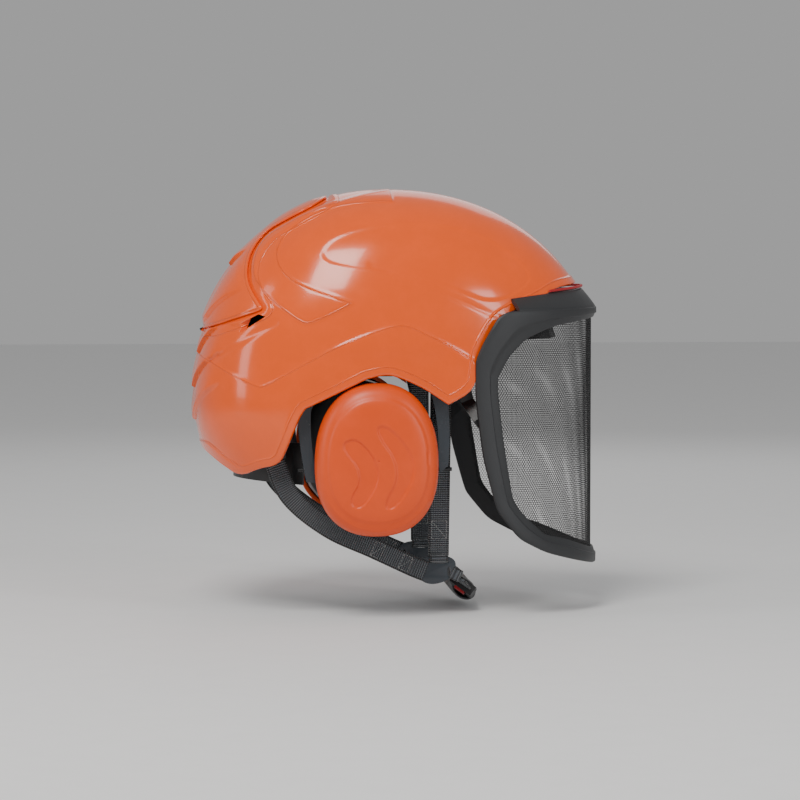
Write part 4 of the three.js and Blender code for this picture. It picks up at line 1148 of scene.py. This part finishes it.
def strap_frame(path, wide, step=1.0):
    """Evenly spaced points along a strap with its across and outward directions."""
    both = np.hstack([np.asarray(path, float), np.broadcast_to(np.asarray(wide, float),
                                                               (len(path), 3))])
    curve = catmull(both, 24)
    lengths = lengths_along(curve[:, :3])
    count = max(8, int(lengths[-1] / step))
    wanted = np.linspace(0, lengths[-1], count)
    even = np.column_stack([np.interp(wanted, lengths, curve[:, k]) for k in range(6)])
    place, across = even[:, :3], even[:, 3:]
    along = unit(np.gradient(place, axis=0))
    across = unit(across - along * np.sum(across * along, axis=1, keepdims=True))
    return place, along, across, np.cross(along, across), wanted


def lay_uv(made, along, across):
    """A UV map on a lofted piece: a value for each ring and one for each point of a ring."""
    layer = made.data.uv_layers.new(name="UVMap")
    for loop in made.data.loops:
        ring, point = divmod(loop.vertex_index, len(across))
        layer.data[loop.index].uv = (along[ring], across[point])
    return made


def strap(name, path, wide, lift=0.0, width=None, thickness=None):
    """A woven strap with rolled edges and a UV map: metres along it, 0 to 1 across it."""
    settings = bpy.context.scene.hat_harness
    width = width or settings.width
    thickness = thickness or settings.thickness
    place, _, across, out, length = strap_frame(path, wide)
    half, thick = width / 2, thickness / 2
    columns = np.array([-1, -0.97, -0.9, -0.6, -0.2, 0.2, 0.6, 0.9, 0.97, 1])
    depth = thick * np.array([0.35, 0.8, 1.08, 1, 1, 1, 1, 1.08, 0.8, 0.35])
    section = [(c * half, d, (c + 1) / 2) for c, d in zip(columns, depth)]
    section += [(c * half, -d, (c + 1) / 2) for c, d in zip(columns[::-1], depth[::-1])]
    rings = [[p + a * u + o * (v + lift) for u, v, _ in section]
             for p, a, o in zip(place, across, out)]
    made = mesh_object(name, *lofted(rings))
    return lay_uv(made, length * MM, [share for _, _, share in section])


def stitches(name, path, wide, spans, inset=2.2, lift=1.0, both_faces=True):
    """Box stitching in thread over parts of a strap, each span a (start, end) in millimetres."""
    place, _, across, out, length = strap_frame(path, wide, step=0.5)
    half = bpy.context.scene.hat_harness.width / 2 - inset
    points, edges = [], []

    def at(distance, side, face):
        p = np.array([np.interp(distance, length, place[:, k]) for k in range(3)])
        a = np.array([np.interp(distance, length, across[:, k]) for k in range(3)])
        o = np.array([np.interp(distance, length, out[:, k]) for k in range(3)])
        return p + a * side + o * lift * face

    def run(first, last, face):
        span = np.linalg.norm(np.subtract(last, first))
        for t in np.arange(0, span - 1.2, 2.4):
            ends = []
            for share in (t / span, (t + 1.6) / span):
                mix = np.add(first, np.subtract(last, first) * share)
                ends.append(at(mix[0], mix[1], face))
            points.extend(ends)
            edges.append((len(points) - 2, len(points) - 1))

    for face in (1, -1) if both_faces else (1,):
        for start, end in spans:
            corners = [(start, -half), (end, -half), (end, half), (start, half)]
            for first, last in zip(corners, corners[1:] + corners[:1]):
                run(first, last, face)
            run(corners[0], corners[2], face)
    return wires(name, points, edges, 0.32, 6, "thread")


def webbing_loop(name, centre, wide, first, second, reach, width, thickness=1.5):
    """A closed turn of webbing round a bar."""
    centre, wide, first, second = (np.asarray(v, float) for v in (centre, wide, first, second))
    section = ((-1, -0.3), (-1, 0.3), (-0.93, 1), (-0.3, 1), (0.3, 1), (0.93, 1), (1, 0.3), (1, -0.3),
               (0.93, -1), (-0.93, -1))
    rings = []
    for turn in np.linspace(0, 2 * math.pi, 48, endpoint=False):
        c, s = math.cos(turn), math.sin(turn)
        middle = (centre + first * reach[0] * np.sign(c) * abs(c) ** 0.7
                  + second * reach[1] * np.sign(s) * abs(s) ** 0.7)
        out = unit(first * c / reach[0] + second * s / reach[1])
        rings.append([middle + wide * (u * width / 2) + out * (v * thickness / 2) for u, v in section])
    made = mesh_object(name, *lofted(rings, closed=True))
    return lay_uv(made, np.arange(len(rings)) * MM * LOOP_STEP, [(u + 1) / 2 for u, _ in section])


def divider_plate(name, side):
    """A smooth leaf-shaped plate with slots, where three straps meet."""
    outer = side * (DIVIDER_Y + DIVIDER_THICKNESS / 2)
    inner = side * (DIVIDER_Y - DIVIDER_THICKNESS / 2)
    plate = prism(name, rounded(DIVIDER, 3, closed=True), min(outer, inner), max(outer, inner))
    for x0, x1, z0, z1 in DIVIDER_SLOTS:
        slot = rounded([(x0, z0), (x1, z0), (x1, z1), (x0, z1)], 2, closed=True)
        boolean(plate, prism("slot_cutter", slot, -80, 80), "DIFFERENCE")
    bevel(plate, 0.9, segments=4, angle=40)
    return plate


def chin_sleeve():
    """An open soft tube round the chin strap."""
    place, _, across, out, length = strap_frame(CHIN_LEFT, CHIN_WIDE)
    chosen = np.nonzero((length > 17) & (length < length[-1] - 3))[0]
    turns = np.linspace(0, 2 * math.pi, 40, endpoint=False)

    def ring(index, half_width, half_height):
        return [place[index] + across[index] * half_width * math.cos(t)
                + out[index] * half_height * math.sin(t) for t in turns]

    rings = [ring(chosen[0], 9.6, 6.9)]
    for k, index in enumerate(chosen):
        swell = min(1, k / 3, (len(chosen) - 1 - k) / 3)
        rings.append(ring(index, 9.9 + 0.7 * swell, 7.2 + 0.8 * swell))
    rings += [ring(index, 9.2, 6.4) for index in chosen[::-1]]
    return mesh_object("chin_sleeve", *lofted(rings, closed=True))


def mirrored_path(path, side):
    return [(x, y * side, z) for x, y, z in path]


class HAT_OT_harness(bpy.types.Operator):
    """Builds the webbing of the harness with its stitching"""
    bl_idname = "hat.harness"
    bl_label = "Harness"

    def execute(self, context):
        front = [(FRONT_STRAP_X, y, z) for y, z in FRONT_STRAP]
        for side, sign in SIDES:
            piece = strap(f"front_webbing_{side}", mirrored_path(front, sign), (1, 0, 0))
            finish_piece(piece, "helmet", "webbing", [f"front_strap_{side}"])
            thread = stitches(f"front_stitches_{side}", mirrored_path(front, sign), (1, 0, 0),
                              ((128, 142),))
            finish_piece(thread, "helmet", "thread")
            path = mirrored_path(REAR_STRAP, sign)
            piece = strap(f"rear_webbing_{side}", path, REAR_WIDE)
            finish_piece(piece, "helmet", "webbing", [f"rear_strap_{side}"])
            thread = stitches(f"rear_stitches_{side}", path, REAR_WIDE, ((110, 118), (134, 142)))
            finish_piece(thread, "helmet", "thread")
        for side, path in (("left", CHIN_LEFT), ("right", CHIN_RIGHT)):
            piece = strap(f"chin_webbing_{side}", path, CHIN_WIDE)
            finish_piece(piece, "helmet", "webbing", [f"chin_strap_{side}"])
        sleeve = chin_sleeve()
        finish_piece(sleeve, "helmet", "knit_dark")
        for side, sign in SIDES:
            plate = divider_plate(f"divider_plate_{side}", sign)
            finish_piece(plate, "helmet", "yoke", [f"strap_divider_{side}"])
            turn = webbing_loop(f"front_loop_{side}", (31.5, sign * DIVIDER_Y, -162.8), (1, 0, 0),
                                (0, 1, 0), (0, 0, 1), (2.8, 3.0), 14.4)
            finish_piece(turn, "helmet", "webbing")
            turn = webbing_loop(f"chin_loop_{side}", (44.6, sign * 60.9, -175.4), (0.447, 0, 0.894),
                                (0, 1, 0), (0.894, 0, -0.447), (3.0, 3.9), 9.5)
            finish_piece(turn, "helmet", "webbing")
        return {"FINISHED"}


# ------------------------------------------------------------------ soft pads
HOLLOW = {"long": 106.0, "crown": 92.0, "side": 82.0}


def hollow_x(y, z):
    share = np.clip(1 - (np.abs(y) / HOLLOW["side"]) ** CROSS_POWER, 0, 1) ** (SIDE_POWER / CROSS_POWER)
    return HOLLOW["long"] * np.clip(share - np.abs(z / HOLLOW["crown"]) ** SIDE_POWER,
                                    0, 1) ** (1 / SIDE_POWER)


def hollow_z(x, y):
    share = np.clip(1 - (np.abs(y) / HOLLOW["side"]) ** CROSS_POWER, 0, 1) ** (SIDE_POWER / CROSS_POWER)
    return HOLLOW["crown"] * np.clip(share - np.abs(x / HOLLOW["long"]) ** SIDE_POWER,
                                     0, 1) ** (1 / SIDE_POWER)


def hollow_y(x, z):
    share = np.abs(x / HOLLOW["long"]) ** SIDE_POWER + np.abs(z / HOLLOW["crown"]) ** SIDE_POWER
    return HOLLOW["side"] * np.clip(1 - share ** (CROSS_POWER / SIDE_POWER), 0, 1) ** (1 / CROSS_POWER)


def stack(*axes):
    """Coordinates side by side as points."""
    return np.stack(axes, axis=-1)


def between(limits, t):
    """The value at t, which runs from -1 to 1, between two limits."""
    return (limits[0] + limits[1]) / 2 + (limits[1] - limits[0]) / 2 * t


def soft_pad(name, surface, u_range, v_range, thickness, seams, gap=0.4, steps=(90, 40)):
    """A stuffed pad lying on surface(u, v): flat on that side, swollen on the other between seams
    across it, with a welded edge."""
    u, v = np.meshgrid(np.linspace(-1, 1, steps[0]), np.linspace(-1, 1, steps[1]), indexing="ij")
    corner = 0.10 * (u ** 4) * (v ** 4)
    us, vs = u * (1 - corner), v * (1 - corner)
    along, across = between(u_range, us), between(v_range, vs)
    place = surface(along, across)
    normal = unit(np.cross(np.gradient(place, axis=0), np.gradient(place, axis=1)))
    inward = np.sum(normal * place, axis=-1, keepdims=True) > 0
    normal = np.where(inward, -normal, normal)
    swell = ((1 - np.abs(u) ** 7) * (1 - np.abs(v) ** 5)) ** 0.5
    for line in seams:
        swell = swell * (1 - 0.42 * np.exp(-((along - line) / 2.0) ** 2))
    top = place + normal * (gap + 0.7 + (thickness - 0.7) * swell)[..., None]
    back = place + normal * gap
    rows, width = u.shape
    points = [tuple(p) for p in top.reshape(-1, 3)] + [tuple(p) for p in back.reshape(-1, 3)]
    faces = grid_faces(0, rows, width) + grid_faces(rows * width, rows, width, flip=True)
    rim = ([(i, 0) for i in range(rows)] + [(rows - 1, j) for j in range(1, width)]
           + [(i, width - 1) for i in range(rows - 2, -1, -1)] + [(0, j) for j in range(width - 2, 0, -1)])
    for (i, j), (k, m) in zip(rim, rim[1:] + rim[:1]):
        a, b = i * width + j, k * width + m
        faces.append((a, b, b + rows * width, a + rows * width))
    made = mesh_object(name, points, faces)
    smooth_by_angle(made, 60)
    return made


def nape_surface(turn, z):
    """The inner face of the nape band, by angle round the back of the head."""
    x = -40 + (84 - 3.9) * np.cos(turn)
    y = (72 - 3.9) * np.sin(turn)
    return np.stack([x, y, z - 5 * (1 - np.abs(np.cos(turn)))], axis=-1)


def egg_crate_foam(name, side):
    outline = cup_outline(150) * 0.93
    shares = np.linspace(0.04, 0.68, 40)
    rings = []
    for share, y in [(0.68, 94.2)] + [(s, None) for s in shares[::-1]]:
        ring = []
        for x, z in outline:
            px, pz = share * x, share * z
            deep = 90.2 - 0.9 * math.cos(px * 0.72) * math.cos(pz * 0.72) if y is None else y
            ring.append((CUP_X + px, side * deep, CUP_Z + pz))
        rings.append(ring)
    return mesh_object(name, *lofted(rings))


class HAT_OT_pads(bpy.types.Operator):
    """Builds the head pads, the nape pad and the foam in the ear cups"""
    bl_idname = "hat.pads"
    bl_label = "Pads"

    def execute(self, context):
        pads = [
            (soft_pad("brow_cushion", lambda y, z: stack(hollow_x(y, z), y, z), (-58, 58), (12.5, 39),
                      5.6, (-36, -12, 12, 36)), "helmet", "brow_pad"),
            (soft_pad("crown_cushion", lambda x, y: stack(x, y, hollow_z(x, y)), (-40, 40), (-26, 26),
                      5.6, (-14, 14)), "helmet", "crown_pad"),
            (soft_pad("nape_cushion", nape_surface, (math.pi - 1.07, math.pi + 1.07), (-99.6, -73.4),
                      4.9, (), gap=0.2), "nape", "nape_pad")]
        for side, sign in SIDES:
            pads.append((soft_pad(f"side_cushion_{side}",
                                  lambda x, z, sign=sign: stack(x, sign * hollow_y(x, z), z),
                                  (-47.5, 27.5), (30.5, 55.5), 5.6, (-22, 3)),
                         "helmet", f"side_pad_{side}"))
        for piece, body, stands_for in pads:
            finish_piece(piece, body, "knit", [stands_for])
        for side, sign in SIDES:
            foam = egg_crate_foam(f"cup_foam_surface_{side}", sign)
            finish_piece(foam, f"{side}_cup", "foam", [f"cup_foam_{side}"])
        return {"FINISHED"}


# ------------------------------------------------------------------ parts kept as the frame has them
PLAIN_PARTS = (
    ("inner_shell", "black", 0.5), ("impact_liner", "liner", 1.0), ("visor_arm", "black", 0.9),
    ("visor_bracket", "black", 0.8), ("visor_pivot_pin", "steel", 0.4),
    ("muff_bracket", "black", 0.6), ("muff_slider", "black", 0.4), ("muff_yoke", "yoke", 1.1),
    ("cup_housing", "gloss_black", 0.9), ("nape_cradle", "black", 0.7), ("nape_guide", "black", 0.6),
    ("nape_dial", "black", 0.6), ("front_anchor", "black", 0.6),
    ("rear_anchor", "black", 0.6), ("buckle_female", "black", 1.0), ("buckle_male", "black", 0.8),
    ("buckle_button", "lip", 0.6))


class HAT_OT_plain_parts(bpy.types.Operator):
    """Rounds the edges of the remaining parts and gives them their finishes"""
    bl_idname = "hat.plain_parts"
    bl_label = "Brackets, arms and buckle"

    def execute(self, context):
        for stem, finish, width in PLAIN_PARTS:
            for name in (stem, f"{stem}_left", f"{stem}_right"):
                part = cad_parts.get(name)
                if part is None:
                    continue
                part.data.materials.clear()
                part.data.materials.append(material(finish))
                for polygon in part.data.polygons:
                    polygon.use_smooth = True
                part.data.set_sharp_from_angle(angle=math.radians(28))
                change = part.modifiers.new("soft_edges", "BEVEL")
                change.width = width * MM
                change.segments = 3
                change.limit_method = "ANGLE"
                change.angle_limit = math.radians(32)
                change.use_clamp_overlap = True
        return {"FINISHED"}


# ------------------------------------------------------------------ stage
def area_light(name, place, aim, size, power, tint=(1, 1, 1)):
    data = bpy.data.lights.new(name, "AREA")
    data.shape = "RECTANGLE"
    data.size, data.size_y = size
    data.energy = power
    data.color = tint
    light = bpy.data.objects.new(name, data)
    light.location = place
    light.rotation_euler = (Vector(aim) - Vector(place)).to_track_quat("-Z", "Y").to_euler()
    bpy.context.collection.objects.link(light)
    return light


def studio_backdrop():
    """A pale floor under the hat."""
    mesh = bpy.data.meshes.new("studio_floor")
    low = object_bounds()[0][2] - 0.004
    mesh.from_pydata([(-6, -6, low), (6, -6, low), (6, 6, low), (-6, 6, low)], [], [(0, 1, 2, 3)])
    floor = bpy.data.objects.new("studio_floor", mesh)
    bpy.context.collection.objects.link(floor)
    material_, tree, shader = base_material("studio_floor", {"Roughness": 0.9})
    texture = node(tree, "ShaderNodeGroup", node_tree=group("grain"))
    mix_colours(tree, texture.outputs["Scuffs"], (0.86, 0.86, 0.86), (0.84, 0.84, 0.84),
                shader.inputs["Base Color"])
    mesh.materials.append(material_)
    floor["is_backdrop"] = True


CAMERA_TARGET = (0.0079, 0, -0.04345)
CAMERA_DISTANCE = 2.5


class HAT_OT_stage(bpy.types.Operator):
    """Adds the floor, the studio lights, the world and the camera"""
    bl_idname = "hat.stage"
    bl_label = "Stage"

    def execute(self, context):
        studio_backdrop()
        world = bpy.data.worlds.new("studio_world")
        world.use_nodes = True
        world.node_tree.nodes["Background"].inputs["Color"].default_value = (1, 1, 1, 1)
        world.node_tree.nodes["Background"].inputs["Strength"].default_value = 0.38
        context.scene.world = world
        aim = (0.0, 0.0, -0.03)
        area_light("key", (-0.5, -1.2, 1.5), aim, (0.7, 0.9), 24, (1, 0.98, 0.95))
        area_light("side_strip", (1.3, -1.5, 0.5), aim, (0.3, 1.3), 9, (0.96, 0.98, 1))
        area_light("rear_strip", (-1.5, -0.4, 0.5), aim, (0.3, 1.2), 4)
        area_light("far_fill", (0.4, 1.6, 0.9), aim, (1.0, 1.0), 3)
        settings = context.scene.hat_stage
        camera = bpy.data.objects.new("camera", bpy.data.cameras.new("camera"))
        camera.data.lens = settings.lens
        a, e = settings.azimuth, settings.elevation
        back = Vector((math.sin(a) * math.cos(e), -math.cos(a) * math.cos(e), math.sin(e)))
        camera.location = Vector(CAMERA_TARGET) + back * CAMERA_DISTANCE
        camera.rotation_euler = (-back).to_track_quat("-Z", "Y").to_euler()
        context.collection.objects.link(camera)
        context.scene.camera = camera
        return {"FINISHED"}


# ------------------------------------------------------------------ panel and registration
BUILD_ORDER = ("shell", "visor", "cups", "harness", "pads", "plain_parts", "stage")


class HAT_PT_panel(bpy.types.Panel):
    """Settings and build steps of the hard hat"""
    bl_idname = "HAT_PT_panel"
    bl_label = "Hard Hat"
    bl_space_type = "VIEW_3D"
    bl_region_type = "UI"
    bl_category = "Hard Hat"

    def draw(self, context):
        for name in SETTINGS:
            box = self.layout.box()
            settings = getattr(context.scene, name)
            for key in settings.__annotations__:
                box.prop(settings, key)
        for step in BUILD_ORDER:
            self.layout.operator(f"hat.{step}")


SETTINGS = {"hat_shell": ShellSettings, "hat_visor": VisorSettings, "hat_cup": CupSettings,
            "hat_harness": HarnessSettings, "hat_stage": StageSettings}
CLASSES = (*SETTINGS.values(), HAT_OT_shell, HAT_OT_visor, HAT_OT_cups, HAT_OT_harness, HAT_OT_pads,
           HAT_OT_plain_parts, HAT_OT_stage, HAT_PT_panel)


def register():
    for item in CLASSES:
        bpy.utils.register_class(item)
    for name, kind in SETTINGS.items():
        setattr(bpy.types.Scene, name, PointerProperty(type=kind))


def unregister():
    for name in SETTINGS:
        delattr(bpy.types.Scene, name)
    for item in reversed(CLASSES):
        bpy.utils.unregister_class(item)


def main():
    register()
    for step in BUILD_ORDER:
        result = getattr(bpy.ops.hat, step)()
        if result != {"FINISHED"}:
            raise RuntimeError(f"the step {step} did not finish")


if __name__ == "__main__":
    main()
